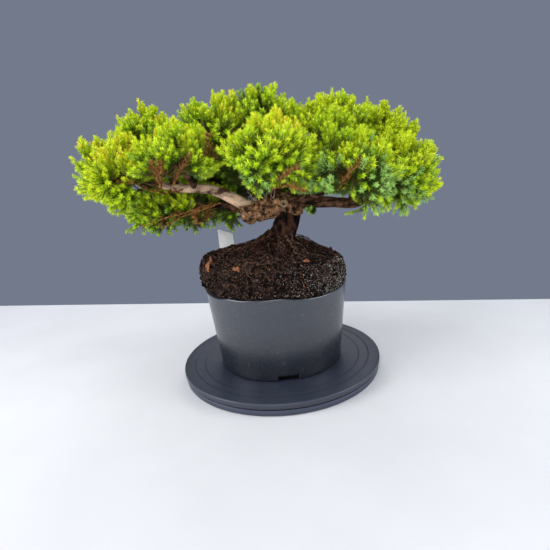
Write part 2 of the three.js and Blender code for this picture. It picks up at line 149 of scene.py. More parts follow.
# Painted light and shade on a needle, which picks its tint: its base, what the fan's rise and the way along
# the shoot add, and what each rank takes; the lighter tips are also young growth
LIGHT_BASE = 0.5
LIGHT_RISE = 0.15
LIGHT_ALONG = 0.68
LIGHT_RANK = 0.045
# Least painted light of each tint, lightest first; needles with less are deep green, painted shade
TINT_LIGHT = {"lime": 0.74, "bright": 0.54, "mid": 0.34}
# Painted light that gold tips need, and below which the bloom shows
GOLD_LIGHT = 0.88
BLOOM_LIGHT = 0.8
# Gold tips grow left of this x; the bloom fades over this range of heights
GOLD_SIDE = 60
BLOOM_FOOT = 200
BLOOM_RANGE = 140

# Open air under and through the crown, as rods: two ends and a radius
HOLLOWS = [
    ((-147, -18, 241), (-119, -108, 242), 6),
    ((-134, -18, 238), (-109, -108, 239), 7),
    ((-119, -18, 236), (-97, -108, 238), 8),
    ((-107, -18, 241), (-87, -108, 242), 7),
    ((-91, -24, 235), (-76, -108, 237), 9),
    ((-78, -22, 232), (-65, -108, 235), 11),
    ((-64, -22, 230), (-54, -108, 232), 12),
    ((-52, -20, 225), (-43, -108, 228), 14),
    ((-44, -30, 237), (-36, -108, 239), 13),
    ((-39, -20, 217), (-32, -108, 221), 16),
    ((-26, -24, 207), (-21, -108, 211), 15),
    ((0, -24, 201), (0, -108, 206), 16),
    ((24, -24, 205), (21, -108, 211), 13),
    ((40, -24, 206), (34, -108, 213), 11),
    ((56, -20, 205), (47, -108, 212), 11),
    ((72, -20, 203), (60, -108, 210), 10),
    ((86, -20, 201), (72, -108, 208), 9),
    ((98, -20, 198), (83, -108, 205), 7),
    ((-114, -40, 240), (-106, -104, 256), 9),
    ((-104, -84, 248), (-94, -108, 264), 8),
    ((-96, -55, 242), (-67, -108, 266), 9),
    ((-54, -30, 264), (-52, -90, 284), 12),
    ((-27, -10, 303), (-21, -108, 292), 7),
    ((-34, -10, 298), (-27, -108, 288), 7),
    ((71, -75, 223), (84, -120, 248), 7),
    ((10, -60, 230), (34, -124, 228), 7),
    ((-235, 50, 212), (-184, -70, 220), 8),
    ((-219, 50, 205), (-172, -70, 215), 8),
    ((-168, -20, 310), (-210, 100, 326), 7),
    ((68, -20, 332), (84, 90, 350), 8),
    ((86, -20, 332), (104, 90, 350), 8),
]
# Balls in which sprays have died back: middle and radius
DIEBACK = np.array(
    [
        (-117, -36, 250, 9),
        (-94, -52, 244, 10),
        (-60, -25, 274, 12),
        (84, -84, 233, 8),
        (78, -70, 222, 7),
        (29, -70, 230, 9),
        (-107, 0, 205, 9),
        (-127, -5, 197, 9),
    ],
    float,
)
# Long dead sprays: where they start, an elbow and where they end
DEAD_SPRAYS = [
    ((-57, 5, 213), (-102, -2, 207), (-149, -10, 194)),
    ((-84, 0, 210), (-90, -2, 202), (-86, -4, 192)),
    ((-66, 0, 212), (-96, -10, 204), (-124, -16, 192)),
    ((-97, -14, 234), (-120, -30, 233), (-142, -45, 246)),
    ((-115, -45, 239), (-110, -72, 248), (-110, -86, 262)),
    ((-108, -68, 247), (-104, -80, 254), (-101, -88, 263)),
    ((-100, -48, 241), (-87, -74, 252), (-72, -90, 266)),
    ((-54, -30, 262), (-55, -60, 274), (-52, -82, 284)),
    ((72, -66, 222), (77, -88, 234), (87, -102, 248)),
    ((5, -45, 228), (18, -100, 231), (33, -117, 226)),
    ((12, -85, 236), (17, -115, 242), (27, -122, 246)),
]

# Boughs with fans of shoots along their run
LEAFY_BOUGHS = ["rear", "left_rear", "right_rear", "left_mid", "top", "right_top", "left_under"]
# Single sprigs: root, heading, length and rank, which paints shade into the needles' tints, from 0 in full
# light to 9 in deep shade
SPRIGS = [
    ((57, -3, 201), (-0.75, -0.2, -0.6), 13, 5),
    ((118, -14, 196), (-0.9, -0.1, -0.3), 30, 2),
    ((-46, 14, 203), (-0.1, -0.3, -0.9), 24, 5),
    ((-196, -14, 270), (-0.3, -0.1, 0.9), 26, 0),
    ((-186, -6, 270), (-0.1, -0.1, 1.0), 26, 0),
    ((-34, 26, 310), (0.0, 0.0, 1.0), 28, 0),
    ((182, 36, 264), (0.4, -0.1, 0.9), 24, 0),
    ((186, -4, 236), (0.4, -0.1, 0.9), 26, 0),
    ((-163, 5, 226), (-0.5, -0.2, -0.4), 27, 2),
    ((-165, -40, 250), (-0.2, -0.7, 0.8), 28, 0),
    ((-148, -44, 251), (0.1, -0.7, 0.8), 28, 0),
    ((-158, -42, 262), (0.0, -0.6, 0.9), 28, 0),
    ((-141, -40, 247), (0.2, -0.8, 0.5), 26, 0),
    ((136, -14, 244), (0.1, -0.2, 1.0), 28, 0),
    ((150, -22, 242), (0.2, -0.4, 0.9), 28, 0),
    ((126, -30, 238), (-0.2, -0.4, 0.9), 28, 0),
    ((154, -2, 248), (0.3, 0.0, 1.0), 28, 0),
    ((188, -6, 218), (0.85, -0.1, 0.4), 16, 0),
    ((189, -8, 207), (1.0, -0.1, 0.1), 16, 0),
    ((35, 24, 292), (0.1, -0.2, 1.0), 30, 0),
    ((44, 40, 290), (0.1, 0.2, 1.0), 30, 0),
    ((36, 6, 286), (0.0, -0.4, 1.0), 30, 0),
    ((61, -25, 272), (0.0, -0.2, 1.0), 30, 0),
    ((75, -22, 274), (0.1, -0.2, 1.0), 30, 0),
    ((88, -20, 272), (0.2, -0.2, 1.0), 30, 0),
    ((70, -36, 264), (0.0, -0.4, 1.0), 28, 0),
    ((-24, 60, 224), (-0.8, 0.1, -0.3), 27, 9),
    ((-30, 84, 228), (-0.4, 0.0, -0.7), 27, 9),
    ((-14, 92, 228), (-0.5, 0.2, -0.6), 27, 9),
    ((12, 70, 226), (0.3, 0.0, -0.5), 25, 9),
    ((26, 88, 230), (0.2, 0.0, -0.7), 25, 9),
]

# Ground plan, in millimetres

# Middle of the trunk's foot, and the middle that the root ball swells from
FOOT = np.array([11.0, 0.0])
HEART = np.array([0.0, 0.0, 95.0])
# Mound: shares are of the way out from the trunk's foot to the root ball's radius
SOIL_SHIFT = -2
SOIL_RADIUS = 89
SHOULDER = 145
SHOULDER_LEAN = 6
PAD_TOP = 158
PAD_SHARE = 0.2
EDGE_SHARE = 0.93
MOUND_POWER = 2
# Wall of the root ball: its share, its bulge, where it tucks in and how deep it ends inside the rim
WALL_SHARE = 0.37
WALL_POWER = 1.4
BULGE = 5.2
BULGE_LEAN = 1.8
TUCK_START = 0.72
TUCKED_BULGE = 1.4
RIM_DEPTH = 3
# Relief of the root ball: height and waves to a millimetre
LUMPS = (7.0, 0.075)
GRAINS = (4.4, 0.3)
# Surface roots
ROOTS = 8
ROOT_RADIUS = 4.6
ROOT_TIP = 1.4
# Offsets of the hand-cut rim at even turns from the front
RIM_CUT = np.array([-0.8, -5.6, -4.6, -2.5, -1.0, 0.5, -0.5, 0.5, 0.0, -1.0, -3.4, -1.6])

# Dry leaves on the root ball: share of the way out, turn in degrees, heading, length and width
DRY_LEAVES = [
    (0.90, -150, (0.5, -0.6, -0.5), 17, 9),
    (0.97, -146, (-0.2, -0.5, -0.7), 15, 8),
    (0.93, -119, (0.8, -0.2, -0.2), 9, 4),
    (0.92, -117, (0.1, -0.7, -0.5), 8, 4),
    (0.86, -163, (0.2, -0.9, -0.2), 8, 4),
    (0.80, -62, (0.9, 0.1, 0.0), 9, 4),
    (0.90, 20, (0.2, -0.9, -0.1), 10, 5),
]

# Stage, in metres

AIM = (0, 0, 0.2)
# Square soft lights: place, width and power in watts
LAMPS = {
    "overhead": ((-0.25, -0.1, 1.3), 1.2, 4.0),
    "left": ((-1.3, -0.5, 0.6), 0.9, 17.0),
    "right": ((1.3, -0.5, 0.6), 0.9, 12.5),
    "front": ((-0.1, -1.3, 0.7), 0.9, 9.5),
    "back": ((0.1, 1.0, 1.2), 0.9, 6.0),
}


# Sizes and colours that a user may change


def length_of(name, text, metres):
    """A length property."""
    return bpy.props.FloatProperty(name=name, description=text, default=metres, unit="LENGTH")


def angle_of(name, text, degrees):
    """An angle property, with its default given in degrees."""
    return bpy.props.FloatProperty(name=name, description=text, default=np.radians(degrees), subtype="ANGLE")


def colour_of(name, text, shade):
    """A colour property."""
    return bpy.props.FloatVectorProperty(name=name, description=text, default=shade, subtype="COLOR")


def count_of(name, text, number, least=0):
    """A whole-number property that can't go below a least value."""
    return bpy.props.IntProperty(name=name, description=text, default=number, min=least)


class TurntableSettings(bpy.types.PropertyGroup):
    """Two-plate turntable under the pot."""

    radius: length_of("Radius", "Outer radius of the upper plate", 0.125)
    colour: colour_of("Colour", "Moulded plastic", (0.017, 0.021, 0.035))


class PotSettings(bpy.types.PropertyGroup):
    """Cut-down nursery pot."""

    foot_radius: length_of("Foot radius", "Outer radius at the bottom", 0.0765)
    rim_radius: length_of("Rim radius", "Outer radius at the cut rim", 0.0872)
    wall: length_of("Wall", "Thickness of the wall", 0.0022)
    rim_wave: length_of("Rim wave", "How far the hand-cut rim strays", 0.0005)
    colour: colour_of("Colour", "Slate grey plastic", (0.019, 0.023, 0.032))


class GroundSettings(bpy.types.PropertyGroup):
    """Root ball and the loose grains on it."""

    grains: count_of("Grains", "Loose soil crumbs", 5000)
    grit: count_of("Grit", "Pale grains of grit", 2700)
    fine_roots: count_of("Fine roots", "Thin roots", 150)
    fibres: count_of("Fibres", "Short bits of root", 1100)
    colour: colour_of("Soil", "Damp potting soil", (0.0050, 0.0031, 0.0027))
    peat_colour: colour_of("Peat", "Red-brown crumbs", (0.085, 0.043, 0.028))
    grit_colour: colour_of("Grit colour", "Stone grit", (0.30, 0.28, 0.245))
    chip_colour: colour_of("Chips", "Orange bark chips", (0.42, 0.13, 0.035))
    leaf_colour: colour_of("Dry leaves", "Fallen brown leaves", (0.21, 0.082, 0.04))


class WoodSettings(bpy.types.PropertyGroup):
    """Trunk, boughs and twigs."""

    relief: length_of("Bark relief", "Depth of the bark's ridges", 0.0016)
    trunk_colour: colour_of("Trunk", "Dark red-brown bark", (0.0100, 0.0042, 0.0026))
    burl_colour: colour_of("Burl", "Tan flaky bark", (0.165, 0.088, 0.044))
    brown_colour: colour_of("Brown boughs", "Brown bark", (0.052, 0.025, 0.014))
    bough_colour: colour_of("Boughs", "Smoother young bark", (0.44, 0.30, 0.20))
    twig_colour: colour_of("Twigs", "Green-brown twigs", (0.20, 0.14, 0.04))


class FoliageSettings(bpy.types.PropertyGroup):
    """Fans of shoots and their needles."""

    fan_length: length_of("Fan length", "Length of a fan of shoots", 0.031)
    fan_gap: length_of("Fan gap", "Least distance between two fans", 0.0135)
    side_fans: count_of("Side fans", "Fans beside a twig", 5)
    shoots: count_of("Shoots", "Shoots in a fan", 13, 1)
    shoot_length: length_of("Shoot length", "Length of a shoot", 0.019)
    spread: angle_of("Spread", "Half angle of a fan", 46)
    needles: count_of("Needles", "Needles on a shoot", 57, 3)
    needle_length: length_of("Needle length", "Longest needle", 0.0052)
    needle_width: length_of("Needle width", "Width across its belly", 0.0012)
    gold: colour_of("Gold", "Golden tips", (0.86, 0.80, 0.04))
    # Lime, bright, mid and deep are lit and shaded copies of one green, painted light and shade; lime is also
    # the colour of young growth
    lime: colour_of("Lime", "New growth in the light", (0.72, 0.84, 0.02))
    bright: colour_of("Bright", "Outer needles", (0.56, 0.76, 0.015))
    mid: colour_of("Mid", "Needles half way in", (0.30, 0.50, 0.015))
    deep: colour_of("Deep", "Shaded needles", (0.06, 0.125, 0.008))
    bloom: colour_of("Bloom", "Needles with a blue bloom", (0.40, 0.65, 0.15))
    dead: colour_of("Dead", "Dry brown needles", (0.27, 0.125, 0.036))


class StageSettings(bpy.types.PropertyGroup):
    """Floor, light and camera."""

    floor_width: length_of("Floor width", "Width of the table top", 1.9)
    floor_front: length_of("Floor front", "Its front edge, from the origin", -0.9)
    floor_back: length_of("Floor back", "Its back edge, from the origin", 0.25)
    floor_turn: angle_of("Floor turn", "Heading of its edges", -12.9)
    floor_colour: colour_of("Floor", "Pale matt floor", (0.79, 0.795, 0.81))
    backdrop: colour_of("Backdrop", "Soft light from all round", (0.17, 0.195, 0.26))
    lens: bpy.props.FloatProperty(name="Lens", description="Focal length in mm", default=27.03)
    distance: length_of("Distance", "From the origin to the camera", 0.5588)
    rise: angle_of("Rise", "Camera's height angle", 26.34)
    pitch: angle_of("Pitch", "Downward tilt", 14.34)
    roll: angle_of("Roll", "Turn about the view", -4.8)


# Numbers and noise


def fraction(mixed):
    """The fraction of a large sine, which scatters any number over 0 to 1."""
    value = np.sin(mixed) * 43758.5453
    return value - np.floor(value)


def chance(*keys):
    """Repeatable numbers from 0 to 1 for weighted keys."""
    return fraction(sum((key + 1) * (12.9898 + 65.233 * place) for place, key in enumerate(keys)))


def between(low, high, *keys):
    """A repeatable number in a range for each set of keys."""
    return low + (high - low) * chance(*keys)


def in_box(low, high, index, seed):
    """A repeatable point in a box for each index."""
    sides = enumerate(zip(low, high))
    return np.stack([between(least, most, index, seed + axis) for axis, (least, most) in sides], -1)


def unit(vectors):
    """Vectors scaled to a length of one."""
    return vectors / np.maximum(np.linalg.norm(vectors, axis=-1, keepdims=True), 1e-9)


def eased(part):
    """Shares from 0 to 1 that start and end softly: 3t^2 - 2t^3."""
    return part * part * (3 - 2 * part)


def corner_value(corner, seed):
    """A repeatable number from 0 to 1 for each corner of a whole-number lattice."""
    return fraction(corner @ np.array([127.1, 311.7, 74.7]) + 19.19 * seed)


def noise(points, seed=0):
    """Smooth noise from 0 to 1: lattice corner values with an eased blend along each axis."""
    cell = np.floor(points)
    part = eased(points - cell)
    total = np.zeros(points.shape[:-1])
    for corner in np.ndindex(2, 2, 2):
        weight = np.where(corner, part, 1 - part).prod(-1)
        total += weight * corner_value(cell + corner, seed)
    return total


def layered_noise(points, octaves, seed=0):
    """Noise from 0 to 1 summed over octaves, each twice as fine and half as strong as the last."""
    shares = 0.5 ** np.arange(octaves)
    layers = [noise(points * 2**k, seed + k) * share for k, share in enumerate(shares)]
    return sum(layers) / shares.sum()


# Shapes


def smooth_path(points, count):
    """Catmull-Rom curve: count samples spread evenly over the spans between the given points."""
    given = np.asarray(points, float)
    padded = np.vstack([2 * given[0] - given[1], given, 2 * given[-1] - given[-2]])
    along = np.linspace(0, len(given) - 1, count)
    span = np.minimum(along.astype(int), len(given) - 2)
    t = (along - span)[:, None]
    a, b, c, d = (padded[span + k] for k in range(4))
    return 0.5 * (2 * b + (c - a) * t + (2 * a - 5 * b + 4 * c - d) * t**2 + (3 * b - a - 3 * c + d) * t**3)


def values_along(values, count):
    """Given values blended straight from one to the next over count samples."""
    return np.interp(np.linspace(0, len(values) - 1, count), np.arange(len(values)), values)


def spun(x, y, turn):
    """Level places turned about the upright axis."""
    return x * np.cos(turn) - y * np.sin(turn), x * np.sin(turn) + y * np.cos(turn)


def full_turn(count):
    """Even turns once round a circle."""
    return np.linspace(0, 2 * np.pi, count, endpoint=False)


def swept(first, second, angle):
    """Vectors turned from one vector towards a second by some angles."""
    return first * np.cos(angle) + second * np.sin(angle)


def arc(start, elbow, end, t):
    """Quadratic curve from a start towards an elbow and on to an end."""
    return start * (1 - t) ** 2 + 2 * elbow * t * (1 - t) + end * t**2


def side_vectors(directions):
    """Two unit vectors square to each direction and to each other."""
    helper = np.where(np.abs(directions[..., 2:3]) > 0.9, (1.0, 0.0, 0.0), (0.0, 0.0, 1.0))
    first = unit(np.cross(directions, helper))
    return first, np.cross(directions, first)


def path_frames(path):
    """Tangent and two side vectors at each point, measured from one fixed helper so that they don't twist."""
    tangent = unit(np.gradient(path, axis=0))
    axis = np.argmin(np.abs(path[-1] - path[0]))
    helper = np.eye(3)[axis]
    first = unit(np.cross(tangent, helper))
    return tangent, first, np.cross(tangent, first)


def grid_faces(rows, columns):
    """Triangles of a grid of rows whose columns close on themselves."""
    row, column = np.meshgrid(np.arange(rows - 1), np.arange(columns), indexing="ij")
    after = (column + 1) % columns
    a, b = row * columns + column, row * columns + after
    c, d = a + columns, b + columns
    return np.stack([np.stack([a, b, d], -1), np.stack([a, d, c], -1)], -2).reshape(-1, 3)


def upright_rings(radius, turn, height):
    """Points at some radii, turns and heights about the upright axis."""
    return np.stack(np.broadcast_arrays(radius * np.cos(turn), radius * np.sin(turn), height), -1)


def closed_tube(rings):
    """Points and triangles of a skin over rings of points, each end closed by a fan to its middle."""
    rows, columns = rings.shape[:2]
    middles = rings[[0, -1]].mean(1)
    points = np.vstack([rings.reshape(-1, 3), middles])
    ring = np.arange(columns)
    after = (ring + 1) % columns
    first = np.stack([after, ring, np.full(columns, rows * columns)], -1)
    last = (rows - 1) * columns
    end = np.stack([ring + last, after + last, np.full(columns, rows * columns + 1)], -1)
    return points, np.vstack([grid_faces(rows, columns), first, end])


def limb(points, radii, rows, columns, relief=0.0, seed=0, grain=(0.22, 0.06), swell=0.0, lump_scale=0.085):
    """Tapering limb with bark relief.

    Point = path + (radius + relief * ridges + swell * lumps) * (cos(a) * side + sin(a) * other side).
    The ridges are folded noise on the unrolled bark, stretched along the limb; the lumps are noise in space.
    """
    path = smooth_path(points, rows)
    _, first, second = path_frames(path)
    angle = full_turn(columns)
    round_points = np.stack([np.cos(angle), np.sin(angle)], -1)
    radius = np.repeat(values_along(radii, rows)[:, None], columns, 1)
    out = swept(first[:, None], second[:, None], angle[:, None])
    run = np.concatenate([[0], np.cumsum(np.linalg.norm(np.diff(path, axis=0), axis=1))])
    around = np.repeat(round_points[None] * np.mean(radii) * grain[0], rows, 0)
    bark = np.concatenate([around, np.repeat(run[:, None, None] * grain[1], columns, 1)], -1) + seed
    ridges = 1 - np.abs(2 * layered_noise(bark, 3, seed) - 1)
    radius = radius + relief * (2 * ridges - 1.2)
    if swell:
        lumps = layered_noise((path[:, None] + radius[..., None] * out) * lump_scale, 3, 7) - 0.5
        radius = radius + swell * 2 * lumps
    return closed_tube(path[:, None] + radius[..., None] * out)


def thin_tubes(paths, radii, columns=3):
    """Many thin tubes at once: rings of a few points square to each path's own run."""
    tangent = unit(np.gradient(paths, axis=1))
    first, second = side_vectors(tangent)
    out = swept(first[:, :, None], second[:, :, None], full_turn(columns)[:, None])
    rings = paths[:, :, None] + radii[..., None, None] * out
    count, rows = paths.shape[:2]
    faces = grid_faces(rows, columns)
    shift = np.arange(count)[:, None, None] * rows * columns
    return rings.reshape(-1, 3), (faces[None] + shift).reshape(-1, 3)


def turned(profile, columns, place=(0, 0, 0), heading=(0, 0, 1)):
    """Surface of revolution: each [radius, height] pair goes in even steps round an axis through a place."""
    given = np.asarray(profile, float)
    ahead = unit(np.array(heading, float))
    first, second = side_vectors(ahead)
    round_points = swept(first, second, full_turn(columns)[:, None])
    rings = given[:, :1, None] * round_points + given[:, 1:, None] * ahead
    return closed_tube(np.array(place, float) + rings)


def rounded(profile, radius, steps=4):
    """A profile with each inner corner replaced by an arc of points blended by a quadratic curve."""
    given = np.asarray(profile, float)
    before, corner, after = given[:-2], given[1:-1], given[2:]
    reach_in = np.minimum(radius, 0.45 * np.linalg.norm(before - corner, axis=1, keepdims=True))
    reach_out = np.minimum(radius, 0.45 * np.linalg.norm(after - corner, axis=1, keepdims=True))
    start = corner + unit(before - corner) * reach_in
    end = corner + unit(after - corner) * reach_out
    t = np.linspace(0, 1, steps)[None, :, None]
    arcs = arc(start[:, None], corner[:, None], end[:, None], t)
    return np.vstack([given[:1], arcs.reshape(-1, 2), given[-1:]])


def table_top(width, front, back, heading, thick=14, power=12):
    """Slab with a superellipse outline, carried from its middle over the edge and back.

    The whole slab is then turned about the upright axis by its heading.
    """
    turn = full_turn(240)
    across = np.sign(np.cos(turn)) * np.abs(np.cos(turn)) ** (2 / power) * 0.5 * width
    along = np.sign(np.sin(turn)) * np.abs(np.sin(turn)) ** (2 / power) * 0.5 * (back - front)
    shares = np.array([0.02, 1.0, 1.0, 0.02])[:, None]
    heights = np.repeat(np.array([-thick, -thick, -0.2, -0.2])[:, None], len(turn), 1)
    x, y = shares * across, shares * along + 0.5 * (front + back)
    return closed_tube(np.stack([*spun(x, y, heading), heights], -1))


def crumbs(places, sizes, seed):
    """Rough little lumps: stretched octahedra with jittered corners, one at each place."""
    base = np.array([[1, 0, 0], [-1, 0, 0], [0, 1, 0], [0, -1, 0], [0, 0, 1], [0, 0, -1]], float)
    triangles = np.array(
        [[0, 2, 4], [2, 1, 4], [1, 3, 4], [3, 0, 4], [2, 0, 5], [1, 2, 5], [3, 1, 5], [0, 3, 5]]
    )
    index = np.arange(len(places))
    jitter = chance(index[:, None, None], np.arange(6)[None, :, None], np.arange(3), seed) - 0.5
    turn = 2 * np.pi * chance(index, seed + 3)[:, None]
    shape = base[None] * between(0.6, 1.2, index[:, None, None], np.arange(3), seed + 4) + 0.55 * jitter
    lumps = np.stack([*spun(shape[..., 0], shape[..., 1], turn), shape[..., 2]], -1)
    points = places[:, None] + lumps * sizes[:, None, None]
    faces = triangles[None] + 6 * index[:, None, None]
    return points.reshape(-1, 3), faces.reshape(-1, 3)


def joined(shapes):
    """Several (points, triangles) pairs as one pair."""
    counts = np.cumsum([0] + [len(points) for points, _ in shapes[:-1]])
    points = np.vstack([points for points, _ in shapes])
    faces = np.vstack([faces + start for (_, faces), start in zip(shapes, counts)])
    return points, faces


# Meshes and materials

SCUFF_COLOUR = (0.3, 0.31, 0.33)


def mesh_object(name, shape, material, smooth=True):
    """Puts a (points in mm, triangles) pair into a mesh object of the scene."""
    points, faces = shape
    mesh = bpy.data.meshes.new(name)
    mesh.vertices.add(len(points))
    mesh.vertices.foreach_set("co", (points * MM).astype(np.float32).ravel())
    mesh.loops.add(faces.size)
    mesh.loops.foreach_set("vertex_index", faces.astype(np.int32).ravel())
    mesh.polygons.add(len(faces))
    mesh.polygons.foreach_set("loop_start", np.arange(0, faces.size, faces.shape[1], dtype=np.int32))
    mesh.polygons.foreach_set("use_smooth", np.full(len(faces), smooth))
    mesh.update(calc_edges=True)
    mesh.materials.append(material)
    made = bpy.data.objects.new(name, mesh)
    bpy.context.scene.collection.objects.link(made)
    return made


def aimed_object(name, data, right, upright, back, place):
    """Puts a light or a camera into the scene, looking away from its back."""
    made = bpy.data.objects.new(name, data)
    bpy.context.scene.collection.objects.link(made)
    axes = np.eye(4)
    axes[:3] = np.stack([right, upright, back, place], -1)
    made.matrix_world = Matrix(axes.tolist())
    return made


def add_piece(name, shape, material, smooth=True, replaces=()):
    """Adds a mesh object that rides on the tree's body."""
    piece = mesh_object(name, shape, material, smooth)
    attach(piece, BODY)
    if replaces:
        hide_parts(*replaces)
    return piece


def scaled(colour, factor):
    """A colour made lighter or darker."""
    return tuple(min(1.0, part * factor) for part in colour)


def shades_of(colour, *factors):
    """One colour made lighter or darker by each factor in turn."""
    return [scaled(colour, factor) for factor in factors]


def plain_material(name, colour, roughness, shine=0.5):
    """A material whose values are the same all over."""
    made = bpy.data.materials.new(name)
    made.use_nodes = True
    shader = made.node_tree.nodes["Principled BSDF"]
    shader.inputs["Base Color"].default_value = (*colour, 1)
    shader.inputs["Roughness"].default_value = roughness
    shader.inputs["Specular IOR Level"].default_value = shine
    return made


def add_node(made, kind, values, **choices):
    """A shader node of a kind, each input set to a value or linked to another node's output."""
    tree = made.node_tree
    node = tree.nodes.new(f"ShaderNode{kind}")
    for name, choice in choices.items():
        setattr(node, name, choice)
    for name, value in values.items():
        if isinstance(value, bpy.types.NodeSocket):
            tree.links.new(value, node.inputs[name])
        else:
            node.inputs[name].default_value = value
    return node


def feed(made, name, source):
    """Links an output to an input of the material's shader."""
    tree = made.node_tree
    tree.links.new(source, tree.nodes["Principled BSDF"].inputs[name])


def noise_value(made, scale, detail=4, stretch=(1, 1, 1), roughness=0.55):
    """The value of a noise texture on Object coordinates, stretched along the axes."""
    place = add_node(made, "TexCoord", {}).outputs["Object"]
    moved = add_node(made, "Mapping", {"Vector": place, "Scale": stretch}).outputs["Vector"]
    values = {"Vector": moved, "Scale": scale, "Detail": detail, "Roughness": roughness}
    return add_node(made, "TexNoise", values).outputs["Fac"]


def ramp_colour(made, value, stops):
    """The colour of a ramp at a value; stops are (place, colour) pairs."""
    ramp = add_node(made, "ValToRGB", {"Fac": value})
    elements = ramp.color_ramp.elements
    while len(elements) < len(stops):
        elements.new(1.0)
    for element, (place, colour) in zip(elements, stops):
        element.position = place
        element.color = (*colour, 1)
    return ramp.outputs["Color"]


def mottle(made, value, stops):
    """Paints the base colour by a texture's value through a ramp of colours."""
    feed(made, "Base Color", ramp_colour(made, value, stops))


def vary_roughness(made, value, low, high):
    """Roughness that follows a texture's value between two bounds."""
    mapped = add_node(made, "MapRange", {"Value": value, "To Min": low, "To Max": high})
    feed(made, "Roughness", mapped.outputs["Result"])


def bump(made, value, strength, distance):
    """Small relief from a texture's value."""
    relief = add_node(made, "Bump", {"Height": value, "Strength": strength, "Distance": distance})
    feed(made, "Normal", relief.outputs["Normal"])


def moulded_plastic(name, colour, roughness, shine, shade_and_dust_heights, dust_and_light_factor, wear):
    """Moulded plastic with a fine grain and pale level scuffs.

    Between two heights in metres it goes from darker at the bottom, painted shade, to paler at the top, dust
    and painted light, broken up by a noise. The wear is the scuffs' strength.
    """
    made = plain_material(name, colour, roughness, shine)
    low, high = shade_and_dust_heights
    place = add_node(made, "TexCoord", {}).outputs["Object"]
    height = add_node(made, "SeparateXYZ", {"Vector": place}).outputs["Z"]
    rise = add_node(made, "MapRange", {"Value": height, "From Min": low, "From Max": high})
    patches = noise_value(made, 38, detail=6, stretch=(1, 1, 0.35), roughness=0.7)
    total = add_node(made, "Math", {0: patches, 1: 0.5, 2: rise.outputs["Result"]}, operation="MULTIPLY_ADD")
    # Painted shade darkens the bottom to half; dust and painted light pale the top
    stops = [(0.2, scaled(colour, 0.5)), (0.7, colour), (1.0, scaled(colour, dust_and_light_factor))]
    shade_and_dust_colour = ramp_colour(made, total.outputs["Value"], stops)
    streaks = noise_value(made, 170, detail=7, stretch=(1, 1, 2.5), roughness=0.75)
    scuffs = add_node(made, "MapRange", {"Value": streaks, "From Min": 0.6, "From Max": 0.74, "To Max": wear})
    mixed = {0: scuffs.outputs["Result"], 6: shade_and_dust_colour, 7: (*SCUFF_COLOUR, 1)}
    feed(made, "Base Color", add_node(made, "Mix", mixed, data_type="RGBA").outputs[2])
    vary_roughness(made, noise_value(made, 55, 4), roughness - 0.06, roughness + 0.12)
    bump(made, noise_value(made, 900, 3), strength=0.12, distance=0.0004)
    return made


def bark_material(name, shades, size, stretch=(1, 1, 1)):
    """Flaky bark: dark clefts, a middle brown and pale worn flakes, with a rough surface."""
    dark, middle, pale = shades
    made = plain_material(name, middle, roughness=0.9, shine=0.12)
    flakes = noise_value(made, 1 / size, 9, stretch, roughness=0.68)
    mottle(made, flakes, [(0.4, dark), (0.48, middle), (0.55, pale), (0.64, scaled(pale, 1.4))])
    vary_roughness(made, noise_value(made, 2 / size, 3), 0.75, 0.98)
    cracks = noise_value(made, 2.4 / size, 7, stretch, roughness=0.72)
    bump(made, cracks, strength=0.9, distance=0.0016)
    return made


def grain_material(name, colour):
    """Loose grains of one kind, some parts of them a little lighter or darker."""
    made = plain_material(name, colour, roughness=0.9, shine=0.15)
    shades = shades_of(colour, 0.45, 1, 1.7)
    mottle(made, noise_value(made, 420, 4), list(zip((0.38, 0.5, 0.64), shades)))
    return made


# Ground


def ground_point(share, turn):
    """Point on the mound: circles whose middles move from the trunk's foot to the root ball's axis.

    The level pad under the trunk falls to the shoulder by a power of the share of the way out.
    """
    reach = SOIL_RADIUS * share
    fall = np.clip((share - PAD_SHARE) / (EDGE_SHARE - PAD_SHARE), 0, 1)
    shoulder = SHOULDER - SHOULDER_LEAN * np.cos(turn)
    height = PAD_TOP - (PAD_TOP - shoulder) * fall**MOUND_POWER
    x = FOOT[0] * (1 - share) + SOIL_SHIFT * share + reach * np.cos(turn)
    y = FOOT[1] * (1 - share) + reach * np.sin(turn)
    return np.stack([x, y, height], -1)


def rim_height(turn, rim):
    """Height of the hand-cut rim: its offsets at even turns from the front, with an eased blend between."""
    place = (turn / (2 * np.pi) + 0.25) % 1 * len(RIM_CUT)
    low = np.floor(place).astype(int) % len(RIM_CUT)
    part = eased(place - np.floor(place))
    return rim + RIM_CUT[low] * (1 - part) + RIM_CUT[(low + 1) % len(RIM_CUT)] * part


def ball_point(share, turn, rim):
    """Point on the root ball: on the mound up to its edge, then over a rounded wall down to inside the rim.

    The wall bulges out by a quarter sine and falls by a power of the share of the way down.
    """
    place = ground_point(np.minimum(share, EDGE_SHARE), turn)
    down = np.clip((share - EDGE_SHARE) / WALL_SHARE, 0, 1)
    tuck = np.clip((down - TUCK_START) / (1 - TUCK_START), 0, 1)
    bulge = BULGE - BULGE_LEAN * np.cos(turn)
    out = bulge * np.sin(0.5 * np.pi * np.minimum(1, 1.7 * down)) - (bulge - TUCKED_BULGE) * tuck**2
    place[..., 0] += out * np.cos(turn) - SOIL_SHIFT * down
    place[..., 1] += out * np.sin(turn)
    place[..., 2] -= (place[..., 2] - rim_height(turn, rim) + RIM_DEPTH) * down**WALL_POWER
    return place


def roughened(points, rim):
    """Points of the root ball pushed in or out by lumps and crumbs, which fade near the rim."""
    out = unit(points - HEART)
    lumps = LUMPS[0] * (layered_noise(points * LUMPS[1], 3, 11) - 0.5)
    grains = GRAINS[0] * (layered_noise(points * GRAINS[1], 3, 17) - 0.45)
    fade = np.clip((points[..., 2:] - rim - 1) / 5, 0.1, 1)
    return points + out * (lumps + grains)[..., None] * fade


